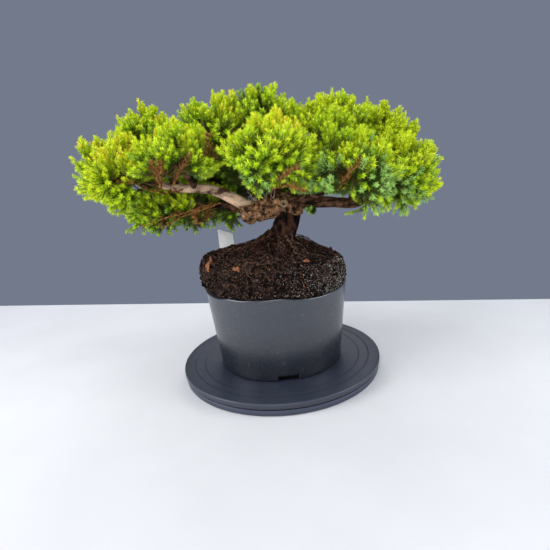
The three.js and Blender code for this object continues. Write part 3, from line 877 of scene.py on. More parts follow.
def root_ball(rim, inner_floor, foot, columns=300, rows=125):
    """Skin of the root ball from the pot's floor up inside its wall, over the rim and up to the trunk."""
    turn = full_turn(columns)
    share = np.linspace(EDGE_SHARE + WALL_SHARE, 0.02, rows)[:, None]
    skin = roughened(ball_point(share, np.broadcast_to(turn, (rows, columns)), rim), rim)
    return closed_tube(np.concatenate([upright_rings(foot, turn, inner_floor)[None], skin]))


def scatter(count, seed, rim, shares=(0.1, 1.26), turns=None):
    """Random places on the root ball within a range of shares.

    They are even all round, or thin out from the middle of a range of turns to its two ends.
    """
    index = np.arange(count)
    share = np.sqrt(between(shares[0] ** 2, shares[1] ** 2, index, seed))
    turn = 2 * np.pi * chance(index, seed + 1)
    if turns:
        turn = turns[0] + (turns[1] - turns[0]) * 0.5 * (chance(index, seed + 1) + chance(index, seed + 2))
    return roughened(ball_point(share, turn, rim), rim)


def dry_leaf(place, heading, length, width):
    """A curled dry leaf: flat ellipses whose width follows a sine along an arched middle line.

    It arches away from the root ball's middle, and its edges curl up by the square of the way out.
    """
    step = np.linspace(0.02, 0.98, 13)
    turn = full_turn(12)
    away = unit(place - HEART)
    ahead = unit(heading - away * (np.array(heading) @ away))
    side = np.cross(away, ahead)
    half = 0.5 * width * np.sin(np.pi * step) ** 0.7
    arch = 1 + 0.2 * length * np.sin(np.pi * step)
    line = place + ahead * ((step - 0.5) * length)[:, None] + away * arch[:, None]
    across = half[:, None] * np.cos(turn)
    lift = 0.25 * np.sin(turn) + 0.07 * across**2
    return closed_tube(line[:, None] + side * across[..., None] + away * lift[..., None])


def root_path(i):
    """Control points and radii of one surface root, as in the part's source."""
    turn = i * 2 * np.pi / ROOTS + between(-0.25, 0.25, i, 71)
    reach = 0.5 * between(0.75, 1.2, i, 72)
    shares = np.array([0.08, 0.2, 0.2 + (reach - 0.2) * 0.45, reach])
    radii = np.array([ROOT_RADIUS, ROOT_RADIUS * 0.85, ROOT_RADIUS * 0.6, ROOT_TIP])
    sway = np.array([0, 0, between(-0.16, 0.16, i, 75), between(-0.16, 0.16, i, 76)])
    points = ground_point(shares, turn + sway)
    points[:, 2] += np.where(np.arange(4) == 0, 9, radii * 0.55)
    return points, radii


def fine_root_paths(count, seed, rim, thick=1.5, turns=(-np.pi, np.pi), furthest=0.72, nearest=0.13):
    """Thin roots that leave the trunk's side, come down to the ground and wander out over the mound.

    The lift above the ground fades as (1 - t)^2.4, with a second low arch on some of them.
    """
    index = np.arange(count)[:, None]
    step = np.linspace(0, 1, 18)[None]
    turn = between(*turns, index, seed) + between(-0.5, 0.5, index, seed + 1) * step
    turn = turn + 0.09 * np.sin(step * between(6, 16, index, seed + 2) + index)
    share = nearest + (between(0.24, furthest, index, seed + 3) - nearest) * step
    paths = roughened(ground_point(share, turn), rim)
    paths[..., 2] += 0.5 + (3 + 17 * chance(index, seed + 4) ** 1.5) * (1 - step) ** 2.4
    paths[..., 2] += 5 * chance(index, seed + 5) ** 2 * np.sin(np.pi * step) ** 2
    radii = thick * (0.3 + 0.7 * chance(index, seed + 6) ** 2) * (1 - 0.6 * step)
    return paths, radii


def fibre_paths(count, seed, rim):
    """Short fibres that lie on the root ball, each a little run on a random heading over its skin."""
    index = np.arange(count)[:, None]
    step = np.linspace(-0.5, 0.5, 6)[None]
    heading = 2 * np.pi * chance(index, seed)
    reach = between(5, 14, index, seed + 1) / SOIL_RADIUS
    middle = between(0.3, 1.15, index, seed + 2)
    share = (middle + reach * np.cos(heading) * step).clip(0.22, 1.24)
    turn = between(-np.pi, np.pi, index, seed + 3) + reach * np.sin(heading) * step / middle
    turn = turn + 0.015 * np.sin(9 * step + index)
    paths = roughened(ball_point(share, turn, rim), rim)
    paths = paths + 0.7 * unit(paths - HEART)
    return paths, between(0.22, 0.5, index, seed + 4) * (1 - step**2)


# Crown


def limb_balls():
    """Middles and radii of balls that stand for the trunk and the boughs."""
    runs = [(STEM["path"], STEM["radii"]), (BURL["path"], BURL["radii"]), *BOUGHS.values()]
    middles = [smooth_path(path, 25) for path, _ in runs]
    radii = [values_along(values, 25) for _, values in runs]
    return np.vstack(middles), np.concatenate(radii)


def gap_to(points, middles, radii):
    """Distance from each point to the nearest of some balls, negative inside one."""
    near = np.full(points.shape[:-1], np.inf)
    for middle, radius in zip(middles, radii):
        near = np.minimum(near, np.linalg.norm(points - middle, axis=-1) - radius)
    return near


def gap_to_limbs(points):
    """Distance from each point to the trunk or the nearest bough, negative inside one."""
    return gap_to(points, *limb_balls())


def gap_to_hollows(points):
    """Distance from each point to the nearest rod of open air, negative inside one."""
    near = np.full(points.shape[:-1], np.inf)
    for start, end, radius in HOLLOWS:
        run = np.subtract(end, start)
        share = ((points - start) @ run / (run @ run)).clip(0, 1)
        near = np.minimum(near, np.linalg.norm(points - start - share[..., None] * run, axis=-1) - radius)
    return near


def turned_about(vectors, axes, angle):
    """Vectors turned about unit axes: v cos + (axis x v) sin + axis (axis . v)(1 - cos)."""
    along = (vectors * axes).sum(-1, keepdims=True)
    crossed = np.cross(axes, vectors)
    return vectors * np.cos(angle) + crossed * np.sin(angle) + axes * along * (1 - np.cos(angle))


def fan_table(start, root, axis, length, rise, mass, rank):
    """Fans as arrays by name; a single value holds for all of them."""
    table = {"from": start, "root": root, "axis": axis}
    for name, value in {"length": length, "rise": rise, "mass": mass, "rank": rank}.items():
        table[name] = np.broadcast_to(value, len(root))
    return table


def fan_candidates(length, side_fans, shift=0.0):
    """Every fan that the rule offers in the masses, terminal fans first, each with where its twig starts.

    Twigs leave each mass's middle on a golden-angle spiral from straight up to below level. A fan
    stands at each twig's tip, and side fans leave it further in, leaning to either side in turn. A shift
    moves every twig on along the spiral, by a share of the step from one to the next.
    """
    mass, i = np.meshgrid(np.arange(len(MIDDLES)), np.arange(TWIGS) + shift, indexing="ij")
    mass, i = mass[..., None], i[..., None]
    rise = 1 - (i + 0.5) / TWIGS * (1 + LOWEST)
    turn = i * GOLDEN_ANGLE + mass * 1.7 + between(-0.2, 0.2, mass, i, 1)
    level = (1 - rise**2) ** PAD_POWER
    out = np.concatenate([level * np.cos(turn), level * np.sin(turn), rise], -1) * HALVES[:, None]
    out = out * TWIG_REACH * between(0.94, 1.06, mass, i, 2)
    middle = np.broadcast_to(MIDDLES[:, None], out.shape)
    along = unit(out)
    upward = unit(along + FAN_UPTURN * UP)
    reach = length * between(0.88, 1.12, mass, i, 3)
    roots = [middle + out - FAN_SINK * reach * upward - TOP_SINK * rise.clip(0) * UP]
    axes = [upward]
    side = unit(np.cross(UP, along))
    for j in range(side_fans):
        lean = SIDE_LEAN * (1 if j % 2 == 0 else -1)
        pivot = turned_about(side, along, between(0, np.pi, mass, i, 4 + j))
        axes.append(turned_about(along, pivot, lean))
        roots.append(middle + out * (0.8 - 0.08 * j) - 1.5 * axes[-1])
    copies = side_fans + 1
    rank = np.repeat(np.arange(copies), mass.size)
    return fan_table(
        np.tile(middle.reshape(-1, 3), (copies, 1)),
        np.array(roots).reshape(-1, 3),
        np.array(axes).reshape(-1, 3),
        np.tile(reach.ravel(), copies) * np.where(rank == 0, 1, SIDE_SIZE),
        np.tile(rise.ravel(), copies),
        np.tile(mass.ravel(), copies),
        rank,
    )


def bough_fans(length, count=12):
    """Fans along the inner boughs, with a rank that paints their needles in shade, on a golden-angle spiral
    round each and leaning forward.
    """
    k = np.arange(count)[:, None]
    run = slice(7, 7 + count)
    names = list(MASSES)
    fans = []
    for name in LEAFY_BOUGHS:
        path = smooth_path(BOUGHS[name][0], 20)
        tangent, first, second = (vectors[run] for vectors in path_frames(path))
        spin = k * GOLDEN_ANGLE + names.index(name)
        axis = unit(swept(first, second, spin) + 0.6 * tangent + 0.2 * UP)
        fans.append((path[run], axis, np.full(count, names.index(name))))
    start, axis, mass = (np.concatenate(part) for part in zip(*fans))
    return fan_table(start, start + 5 * axis, axis, 0.85 * length, -0.3, mass, rank=8)


def sprigs():
    """The single sprigs as fans of their own, each on a twig from the nearest limb or mass."""
    root, axis, length, rank = (np.array(part, float) for part in zip(*SPRIGS))
    near = np.linalg.norm(root[:, None] - MIDDLES, axis=-1).argmin(1)
    starts = np.vstack([limb_balls()[0], MIDDLES])
    nearest = np.linalg.norm(root[:, None] - starts, axis=-1).argmin(1)
    rise = np.where(rank == 0, 0.6, 0.0)
    return fan_table(starts[nearest], root, unit(axis), length, rise, near, rank)


def all_of(*groups):
    """Groups of arrays with the same names, one after another."""
    return {key: np.concatenate([group[key] for group in groups]) for key in groups[0]}


def grow_fans(settings):
    """The fans that find room: each keeps a gap from older ones and stays clear of limbs and hollows."""
    length = settings.fan_length / MM
    between_twigs = fan_candidates(length, settings.side_fans, 0.5)
    fans = all_of(fan_candidates(length, settings.side_fans), between_twigs, bough_fans(length))
    steps = (fans["length"][:, None] * (0.6, 1.0))[..., None]
    marks = fans["root"][:, None] + fans["axis"][:, None] * steps
    free = (gap_to_hollows(marks).min(1) > -2) & (gap_to_limbs(marks).min(1) > 5)
    gap = settings.fan_gap / MM
    kept, taken = [], np.full((0, 3), np.inf)
    for fan in np.flatnonzero(free):
        apart = np.linalg.norm(taken[:, None] - marks[fan], axis=-1)
        if apart.min(initial=np.inf) > gap:
            kept.append(fan)
            taken = np.vstack([taken, marks[fan]])
    return all_of({key: values[kept] for key, values in fans.items()}, sprigs())


def grow_shoots(fans, settings):
    """All shoots that keep clear of limbs and hollows, as arrays.

    They leave the fan's axis on a golden-angle spiral, outer ones further down, so that a fan is a dome.
    High fans are upright, low ones are flatter with longer shoots.
    """
    count = settings.shoots
    fan, j = np.meshgrid(np.arange(len(fans["rise"])), np.arange(count), indexing="ij")
    lifted = np.clip(0.35 + 0.8 * fans["rise"], 0, 1)[:, None]
    ring = np.sqrt((j + 0.15) / count)
    polar = (settings.spread * (1.35 - 0.35 * lifted) * ring * between(0.85, 1.1, fan, j, 21))[..., None]
    spin = (j * GOLDEN_ANGLE + 2 * np.pi * chance(fan, 22))[..., None]
    axis = fans["axis"][:, None]
    first, second = side_vectors(axis)
    sideways = swept(first, second, spin)
    sideways[..., 2] *= 0.45 + 0.55 * lifted
    heading = unit(swept(axis, sideways, polar) + (0.12 + 0.85 * lifted)[..., None] * UP)
    vigour = (fans["length"] * MM / settings.fan_length).clip(0, 1)[:, None]
    size = settings.shoot_length / MM * vigour * between(0.88, 1.12, fan, j, 23) * (1.3 - 0.3 * lifted)
    along = fans["length"][:, None] * (0.08 + 0.36 * (1 - ring) + between(-0.05, 0.05, fan, j, 24))
    shoots = {
        "start": (fans["root"][:, None] + axis * along[..., None]).reshape(-1, 3),
        "run": (heading * size[..., None]).reshape(-1, 3),
        "bend": between(0.5, 3.0, fan, j, 25).ravel(),
        "dice": chance(fan, j, 26).ravel(),
        "fan_dice": chance(fan, 27).ravel(),
        "lifted": np.repeat(lifted[:, 0], count),
    }
    for key in ("rise", "mass", "rank"):
        shoots[key] = np.repeat(fans[key], count)
    tips = shoots["start"] + shoots["run"]
    withered = (shoots["rise"] < -0.45) & (shoots["fan_dice"] > 0.92) & (tips[:, 0] < 0)
    shoots["dead"] = withered | (gap_to(tips, DIEBACK[:, :3], DIEBACK[:, 3]) < 0)
    middles = shoots["start"] + 0.5 * shoots["run"]
    free = (gap_to_limbs(tips) > 4) & (gap_to_limbs(middles) > 3)
    free &= (gap_to_hollows(tips) > 2) & (gap_to_hollows(middles) > 2)
    return {key: values[free] for key, values in shoots.items()}


def dead_spray_paths():
    """Paths of the long dead sprays and of their side twigs, which lean forward to either side in turn.

    A spray is a curve through its elbow, with a little random wander.
    """
    step = np.linspace(0, 1, 9)[:, None]
    index = np.arange(110)
    mains, sides = [], []
    for number, (start, elbow, end) in enumerate(np.array(DEAD_SPRAYS, float)):
        main = start * (1 - step) * (1 - 2 * step) + end * step * (2 * step - 1)
        main = main + 4 * elbow * step * (1 - step)
        wander = np.stack([chance(number, np.arange(9), k) for k in (1, 2, 3)], -1) - 0.5
        mains.append(main + 2.2 * wander)
        base = mains[-1][1 + index * 8 // len(index)]
        along = unit(end - start)
        level = unit(np.cross(UP, along)) * np.where(index % 2 == 0, 1, -1)[:, None]
        lean = along * 0.8 + level * between(0.2, 1.0, number, index, 4)[:, None]
        lean = unit(lean + UP * between(-0.6, 0.8, number, index, 5)[:, None])
        run = lean * between(2.5, 6.5, number, index, 6)[:, None]
        part = np.linspace(0, 1, 4)[None, :, None]
        sides.append(base[:, None] + run[:, None] * part + UP * 2 * part**2)
    return np.array(mains), np.vstack(sides)


def shoot_point(shoots, t):
    """Point and heading along each shoot: start + run t + up bend t^2."""
    lift = shoots["bend"][:, None]
    place = shoots["start"][:, None] + shoots["run"][:, None] * t[..., None]
    place[..., 2] += lift * t**2
    heading = np.repeat(shoots["run"][:, None], t.shape[1], 1)
    heading[..., 2] += 2 * lift * t
    return place, unit(heading)


def grow_needles(shoots, settings):
    """Needles in whorls of three along every shoot: root, two sides, tip, and the share of the way along.

    A needle is a lance-shaped sliver folded along its middle. It stands out at an angle that closes
    towards the shoot's tip, so that a shoot is a plump plume with a blunt end.
    """
    count = settings.needles
    k = np.arange(count)
    index = np.arange(len(shoots["bend"]))[:, None]
    t = 0.06 + 0.94 * ((k + between(-0.3, 0.3, index, k, 30)) / (count - 1)).clip(0, 1) ** 0.9
    place, heading = shoot_point(shoots, t)
    first, second = side_vectors(heading)
    spin = (k % 3) * 2 * np.pi / 3 + (k // 3) * np.pi / 3 + 2 * np.pi * chance(index, 31)
    spin = (spin + between(-0.3, 0.3, index, k, 32))[..., None]
    sideways = swept(first, second, spin)
    lean = NEEDLE_LEAN - UPRIGHT_CLOSES * shoots["lifted"][:, None] - TIP_CLOSES * t**3
    lean = (lean + between(-0.14, 0.14, index, k, 33))[..., None]
    pointing = swept(heading, sideways, lean)
    size = settings.needle_length / MM * (0.82 + 0.3 * t - 0.34 * t**5) * between(0.85, 1.12, index, k, 34)
    size = size * (1.12 - 0.2 * shoots["lifted"][:, None])
    size = np.where(shoots["dead"][:, None], 0.55 * size, size)[..., None]
    roll = between(-0.5, 0.5, index, k, 35)[..., None]
    across = turned_about(unit(np.cross(pointing, heading)), pointing, roll)
    above = np.cross(across, pointing)
    half = 0.5 * settings.needle_width / MM
    belly = place + pointing * (0.4 * size) + above * (0.55 * half)
    corners = [place, belly - across * half, place + pointing * size, belly + across * half]
    return np.stack(corners, -2), t


def needle_mesh(corners):
    """Points and triangles of separate needles: one triangle on either side of the fold."""
    faces = np.array([[0, 1, 2], [0, 2, 3]])[None] + 4 * np.arange(len(corners))[:, None, None]
    return corners.reshape(-1, 3), faces.reshape(-1, 3)


def tints_of(shoots, t):
    """Tint of each needle by name, chosen by painted light and shade, which grows with the fan's rise, its
    mass's light and the way along and falls with the rank; the lighter tips are also young growth.
    """
    tip = shoots["start"] + shoots["run"]
    height = ((tip[:, 2] - BLOOM_FOOT) / BLOOM_RANGE).clip(0, 1)
    # Painted light on each needle, which picks a lit or a shaded copy of the green
    painted_light = LIGHT_BASE + LIGHT_RISE * shoots["rise"] + PAINTED_LIGHTS[shoots["mass"]] - LIGHT_RANK * shoots["rank"]
    painted_light = painted_light + 0.24 * (shoots["fan_dice"] - 0.5) + 0.16 * (shoots["dice"] - 0.5)
    speckle = chance(np.arange(len(t))[:, None], np.arange(t.shape[1]), 41) - 0.5
    level = painted_light[:, None] + LIGHT_ALONG * (t - 0.55) + 0.16 * speckle
    tint = np.select([level > least for least in TINT_LIGHT.values()], list(TINT_LIGHT), "deep")
    # Gold tips and bloom are the needles' own colours, shown only where the painted light is high or low
    # enough
    golden = (shoots["dice"] > 0.6) & (tip[:, 0] < GOLD_SIDE) & (shoots["rise"] > 0)
    tint = np.where(golden[:, None] & (level > GOLD_LIGHT), "gold", tint)
    low_dice = 0.5 * shoots["fan_dice"] + 0.5 * shoots["dice"]
    bloom = low_dice < BLOOMS[shoots["mass"]] * (1.5 - 2.6 * height).clip(0, 1)
    tint = np.where(bloom[:, None] & (level < BLOOM_LIGHT) & (tint != "deep"), "bloom", tint)
    return np.where(shoots["dead"][:, None], "dead", tint)


def twig_paths(fans):
    """Woody twigs: an arc from where each starts, by a sagging elbow, to about a third up the fan's axis."""
    middle = fans["from"][:, None]
    root = fans["root"][:, None]
    end = root + fans["axis"][:, None] * (0.35 * fans["length"])[:, None, None]
    elbow = 0.35 * middle + 0.65 * root - 3 * UP
    step = np.linspace(0, 1, 8)[None, :, None]
    return arc(middle, elbow, end, step)


def stem_limbs():
    """Stems that carry each bough on to the middle of its mass."""
    shapes = []
    for number, (name, (path, radii)) in enumerate(BOUGHS.items()):
        middle = np.array(MASSES[name][0], float)
        end = np.array(path[-1], float)
        along = unit(end - np.array(path[-2], float))
        points = [end - along, end + 5 * along, 0.35 * (end + 5 * along) + 0.65 * middle, middle]
        thick = [radii[-1], 0.95 * radii[-1], 2.4, 1.6]
        shapes.append(limb(points, thick, rows=16, columns=10, relief=0.5, seed=50 + number))
    return shapes


# Operators


class JUNIPER_OT_turntable(bpy.types.Operator):
    """Add the turntable's two plates"""

    bl_idname = "juniper.add_turntable"
    bl_label = "Turntable"

    def execute(self, context):
        settings = context.scene.juniper_turntable
        outer = settings.radius / MM
        side = outer - 1.5
        hub, well, lip = 42, 99, 112
        base = [(0, 0), (side - 1.5, 0), (side, 1), (side, 6.6), (side - 1.1, 7)]
        base += [(hub, 7), (hub, 8.3), (0, 8.3)]
        plate = [(0, 8.6), (outer - 1.2, 8.6), (outer, 9.6), (outer, 14.6), (outer - 1.2, 15.6)]
        plate += [(lip, 15.6), (lip - 1.2, 14.5), (well + 1, 14.5), (well, 13.6), (0, 13.6)]
        # Each plate's top is paler than its side and foot: painted light with dust
        finish = moulded_plastic(
            "turntable_plastic",
            settings.colour,
            roughness=0.42,
            shine=0.6,
            shade_and_dust_heights=(0.004, 0.016),
            dust_and_light_factor=1.5,
            wear=0.12,
        )
        worn = moulded_plastic(
            "base_plastic",
            scaled(settings.colour, 2.0),
            roughness=0.4,
            shine=0.5,
            shade_and_dust_heights=(0.0, 0.008),
            dust_and_light_factor=1.2,
            wear=0.2,
        )
        lower = turned(rounded(base, 0.8), 180)
        upper = turned(rounded(plate, 0.9), 180)
        add_piece("turntable_lower", lower, worn, replaces=["turntable_base"])
        add_piece("turntable_upper", upper, finish, replaces=["turntable_plate"])
        return {"FINISHED"}


class JUNIPER_OT_pot(bpy.types.Operator):
    """Add the cut-down pot with its drain slots"""

    bl_idname = "juniper.add_pot"
    bl_label = "Pot"

    columns = 240
    foot_chamfer = 0.8
    slot_turn = np.radians(4)
    slot_half_width = 11.5
    # Rows of faces that a slot takes away: the outer ones of the floor and the lowest of the wall
    slot_rows = (5, 13)

    def execute(self, context):
        settings = context.scene.juniper_pot
        low, high = (corner.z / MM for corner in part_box("pot"))
        tall = high - low
        foot, rim = settings.foot_radius / MM, settings.rim_radius / MM
        turn = full_turn(self.columns)
        floor_radius = (foot - self.foot_chamfer) * np.linspace(0.02, 0.97, 8)[:, None]
        rise = (np.concatenate([np.linspace(0, 6.5, 6), np.linspace(9, tall, 58)]) / tall)[:, None]
        ripple = settings.rim_wave / MM * (0.5 * np.sin(11 * turn + 0.6) + 0.5 * np.sin(17 * turn + 2.1))
        cut = rim_height(turn, 0) + ripple
        radius = foot + (rim - foot) * rise - self.foot_chamfer * np.exp(-90 * rise)
        height = low + tall * rise + cut * rise**3
        rings = np.vstack([upright_rings(floor_radius, turn, low), upright_rings(radius, turn, height)])
        shell = rings.reshape(-1, 3), self.faces_round_slots(len(rings), turn, foot)
        # Darker towards the foot as painted shade, paler towards the rim as dust and painted light
        finish = moulded_plastic(
            "pot_plastic",
            settings.colour,
            roughness=0.24,
            shine=0.82,
            shade_and_dust_heights=(0.02, 0.1),
            dust_and_light_factor=1.3,
            wear=0.35,
        )
        piece = add_piece("pot_shell", shell, finish, replaces=["pot"])
        thick = piece.modifiers.new("wall", "SOLIDIFY")
        thick.thickness = settings.wall
        thick.offset = -1
        return {"FINISHED"}

    def faces_round_slots(self, rows, turn, foot):
        """Triangles of the shell without those in the drain slots, which are a quarter turn apart."""
        faces = grid_faces(rows, self.columns).reshape(-1, self.columns, 2, 3)
        quarter = 0.5 * np.pi
        offset = np.abs((turn + quarter - self.slot_turn + 0.5 * quarter) % quarter - 0.5 * quarter)
        row = np.arange(len(faces))[:, None]
        first, after = self.slot_rows
        in_slot = (offset < self.slot_half_width / foot) & (row >= first) & (row < after)
        return faces[~in_slot].reshape(-1, 3)


class JUNIPER_OT_ground(bpy.types.Operator):
    """Add the root ball with crumbs, grit, chips and dry leaves"""

    bl_idname = "juniper.add_ground"
    bl_label = "Root ball"

    # Foot of the root ball, and how far it goes below the soil's solid, so that no slot shows a gap
    foot_radius = 73.5
    sunk = 2

    def execute(self, context):
        settings = context.scene.juniper_ground
        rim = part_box("pot")[1].z / MM
        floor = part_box("soil")[0].z / MM
        soil = plain_material("soil", settings.colour, roughness=0.95, shine=0.1)
        shades = shades_of(settings.colour, 0.15, 1, 7.5)
        mottle(soil, noise_value(soil, 75, 12, roughness=0.86), list(zip((0.42, 0.5, 0.585), shades)))
        bump(soil, noise_value(soil, 800, 5), strength=0.9, distance=0.0015)
        ball = root_ball(rim, floor - self.sunk, self.foot_radius)
        add_piece("root_ball", ball, soil, replaces=["soil"])

        front_right = (-0.52 * np.pi, 0.16 * np.pi)
        front_left = (-1.1 * np.pi, -0.3 * np.pi)
        front = (-np.pi, 0)
        places = scatter(settings.grains, 101, rim)
        self.add_crumbs("soil_crumbs", soil, places, least=0.6, most=2.6, seed=5)
        peat = grain_material("red_peat", settings.peat_colour)
        places = np.vstack([scatter(600, 121, rim), scatter(1900, 131, rim, (0.7, 1.26), front_left)])
        self.add_crumbs("peat_crumbs", peat, places, least=0.4, most=1.6, seed=6)
        grit = grain_material("grit", settings.grit_colour)
        near_right = scatter(settings.grit, 111, rim, (0.86, 1.27), front_right)
        places = np.vstack([near_right, scatter(settings.grit // 5, 141, rim, (0.3, 1.26))])
        self.add_crumbs("grit_grains", grit, places, least=0.28, most=0.85, seed=7)
        chips = grain_material("bark_chips", settings.chip_colour)
        places = scatter(34, 151, rim, (0.5, 1.15), front)
        self.add_crumbs("bark_chips", chips, places, least=0.7, most=1.5, seed=8)

        leaves = grain_material("dry_leaf", settings.leaf_colour)
        shapes = []
        for share, degrees, heading, length, width in DRY_LEAVES:
            spot = roughened(ball_point(np.array(share), np.radians(degrees), rim), rim)
            shapes.append(dry_leaf(spot, heading, length, width))
        add_piece("dry_leaves", joined(shapes), leaves)
        return {"FINISHED"}

    @staticmethod
    def add_crumbs(name, finish, places, least, most, seed):
        """Crumbs at some places, with few large ones among many small."""
        sizes = least + (most - least) * chance(np.arange(len(places)), seed + 200) ** 3
        add_piece(name, crumbs(places, sizes, seed), finish, smooth=False)


class JUNIPER_OT_label(bpy.types.Operator):
    """Add the plain white plant label"""

    bl_idname = "juniper.add_label"
    bl_label = "Plant label"

    half_width = 10
    slant = 8
    corner = 2.4
    curl = 0.012
    half_thick = 0.45
    turn = np.radians(8)

    def execute(self, context):
        low, high = (np.array(corner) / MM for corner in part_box("plant_label"))
        half, foot, top = self.half_width, low[2], high[2]
        outline = np.array([(-half, top), (-half, foot), (half, foot), (half, top - self.slant)])
        edge = rounded(outline[[0, 1, 2, 3, 0, 1]], self.corner, 6)[1:-1]
        across = np.array([np.cos(self.turn), np.sin(self.turn), 0.0])
        ahead = np.array([-np.sin(self.turn), np.cos(self.turn), 0.0])
        spread = edge[:, :1] * across + edge[:, 1:] * UP
        spread[:, 1] += self.curl * edge[:, 0] ** 2
        heart = spread.mean(0)
        inset = np.array([0.96, 1.0, 1.0, 0.96])[:, None, None]
        depth = self.half_thick * np.array([-1, -1, 1, 1])[:, None, None]
        rings = heart + (spread - heart) * inset + depth * ahead
        rings[..., :2] += 0.5 * (low + high)[:2]
        white = plain_material("label_plastic", (0.93, 0.93, 0.90), roughness=0.4)
        mottle(white, noise_value(white, 60, 5), [(0.35, (0.89, 0.89, 0.86)), (0.6, (0.96, 0.96, 0.94))])
        bump(white, noise_value(white, 300, 2), strength=0.05, distance=0.0003)
        add_piece("label_plate", closed_tube(rings), white, smooth=False, replaces=["plant_label"])
        return {"FINISHED"}


class JUNIPER_OT_trunk(bpy.types.Operator):
    """Add the trunk, its burl and its roots"""

    bl_idname = "juniper.add_trunk"
    bl_label = "Trunk"

    def execute(self, context):
        settings = context.scene.juniper_wood
        relief = settings.relief / MM
        colour = settings.trunk_colour
        bark = bark_material("trunk_bark", shades_of(colour, 0.1, 0.7, 6.0), 0.011, (1, 1, 0.5))
        shapes = [
            limb(STEM["path"], STEM["radii"], 120, 140, 1.3 * relief, seed=1, grain=(0.7, 0.12), swell=3.4)
        ]
        for i in range(ROOTS):
            points, radii = root_path(i)
            slim = 0.62 * radii
            shapes.append(limb(points, slim, 44, 20, 0.6 * relief, seed=20 + i, grain=(0.8, 0.2), swell=1.4))
        add_piece("trunk_bark", joined(shapes), bark, replaces=["trunk"])
        self.add_burl(settings.burl_colour, relief)
        self.add_stub()
        self.add_dead_twigs()
        self.add_fine_roots(context.scene.juniper_ground, colour)
        return {"FINISHED"}

    @staticmethod
    def add_burl(colour, relief):
        """Knobbly burl with the bark of a pruned stub."""
        bark = bark_material("burl_bark", shades_of(colour, 0.1, 1, 2.5), 0.0055)
        shapes = [
            limb(BURL["path"], BURL["radii"], 150, 160, 1.5 * relief, seed=2, grain=(0.9, 0.4), swell=3.6)
        ]
        for number, (at, radius) in enumerate(KNOBS + SMALL_KNOBS):
            points = [np.array(at) + (0, 0, h * radius) for h in (-0.98, -0.5, 0.0, 0.5, 0.98)]
            radii = [share * radius for share in (0.2, 0.87, 1, 0.87, 0.2)]
            seed = 40 + number
            shapes.append(limb(points, radii, 50, 80, 1.2 * relief, seed, grain=(0.9, 0.5), swell=2.6))
        stub = [(0.1, -6), (6.2, -6), (5.4, -1.5), (5.2, 0.6), (4.6, 0.9), (4.4, 0.0), (0.1, -0.2)]
        shapes.append(turned(rounded(stub, 0.7), 36, STUB["place"], STUB["heading"]))
        add_piece("burl_bark", joined(shapes), bark)

    @staticmethod
    def add_stub():
        """Weathered cut face of the pruned stub."""
        dark, middle, pale = (0.2, 0.13, 0.07), (0.45, 0.33, 0.2), (0.6, 0.48, 0.33)
        wood = plain_material("cut_wood", middle, roughness=0.8)
        mottle(wood, noise_value(wood, 900, 4), [(0.35, dark), (0.55, middle), (0.7, pale)])
        cut = [(0.1, -0.6), (4.45, -0.6), (4.4, 0.1), (2.6, -0.05), (1.2, -0.35), (0.1, -0.45)]
        add_piece("stub_cut", turned(cut, 36, STUB["place"], STUB["heading"]), wood)

    @staticmethod
    def add_dead_twigs():
        """Stubs of dead twigs on the burl's front."""
        index = np.arange(11)[:, None]
        step = np.linspace(0, 1, 6)[None]
        base = in_box((-20, -13, 209), (8, -6, 215), index, 91)
        lean = in_box((-9, -5, 4), (5, 1, 12), index, 94)
        paths = base + lean * step[..., None] + UP * (1.5 * step**2)[..., None]
        paths[..., 0] += 0.8 * np.sin(7 * step + index)
        radii = between(0.6, 1.1, index, 97) * (1 - 0.55 * step)
        shades = [(0.12, 0.07, 0.04), (0.3, 0.2, 0.12), (0.48, 0.36, 0.25)]
        dead = bark_material("dead_twig_bark", shades, 0.003)
        add_piece("dead_twigs", thin_tubes(paths, radii, 6), dead)

    @staticmethod
    def add_fine_roots(ground, colour):
        """Thin roots in two shades, thickest at the front left."""
        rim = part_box("pot")[1].z / MM
        front_left = (-1.05 * np.pi, -0.35 * np.pi)
        count = ground.fine_roots
        dark = bark_material("root_bark", shades_of(colour, 0.2, 1.2, 6.5), 0.004)
        shapes = [
            thin_tubes(*fine_root_paths(count, 81, rim), 5),
            thin_tubes(*fine_root_paths(count // 2, 181, rim, 2.3, front_left, furthest=0.8), 6),
        ]
        add_piece("fine_roots", joined(shapes), dark)
        shades = [(0.018, 0.008, 0.006), (0.05, 0.024, 0.018), (0.15, 0.09, 0.062)]
        tan = bark_material("tan_root_bark", shades, 0.004)
        shapes = [
            thin_tubes(*fine_root_paths(count // 4, 281, rim, 1.2, furthest=0.85), 5),
            thin_tubes(*fine_root_paths(count // 4, 381, rim, 1.2, front_left, furthest=0.9), 5),
            thin_tubes(*fibre_paths(ground.fibres, 481, rim), 3),
        ]
        add_piece("tan_roots", joined(shapes), tan)


class JUNIPER_OT_boughs(bpy.types.Operator):
    """Add the boughs and the stems that carry them into the foliage"""

    bl_idname = "juniper.add_boughs"
    bl_label = "Boughs"

    pale_bough = "left_tip"
    cleft_colour = (0.08, 0.038, 0.024)

    def execute(self, context):
        settings = context.scene.juniper_wood
        relief = settings.relief / MM
        shades = [self.cleft_colour, *shades_of(settings.bough_colour, 1, 1.45)]
        pale = bark_material("bough_bark", shades, 0.013, (0.6, 0.9, 0.9))
        shades = shades_of(settings.brown_colour, 0.15, 0.9, 3.0)
        dark = bark_material("brown_bark", shades, 0.006, (0.4, 1, 1))
        for number, (name, (path, radii)) in enumerate(BOUGHS.items()):
            rows = 26 * (len(path) - 1)
            shape = limb(path, radii, rows, 40, 0.5 * relief, seed=60 + number, grain=(0.4, 0.06), swell=1.1)
            finish = pale if name == self.pale_bough else dark
            add_piece(f"{name}_bough", shape, finish, replaces=[f"bough_{name}"])
        add_piece("mass_stems", joined(stem_limbs()), dark)
        return {"FINISHED"}


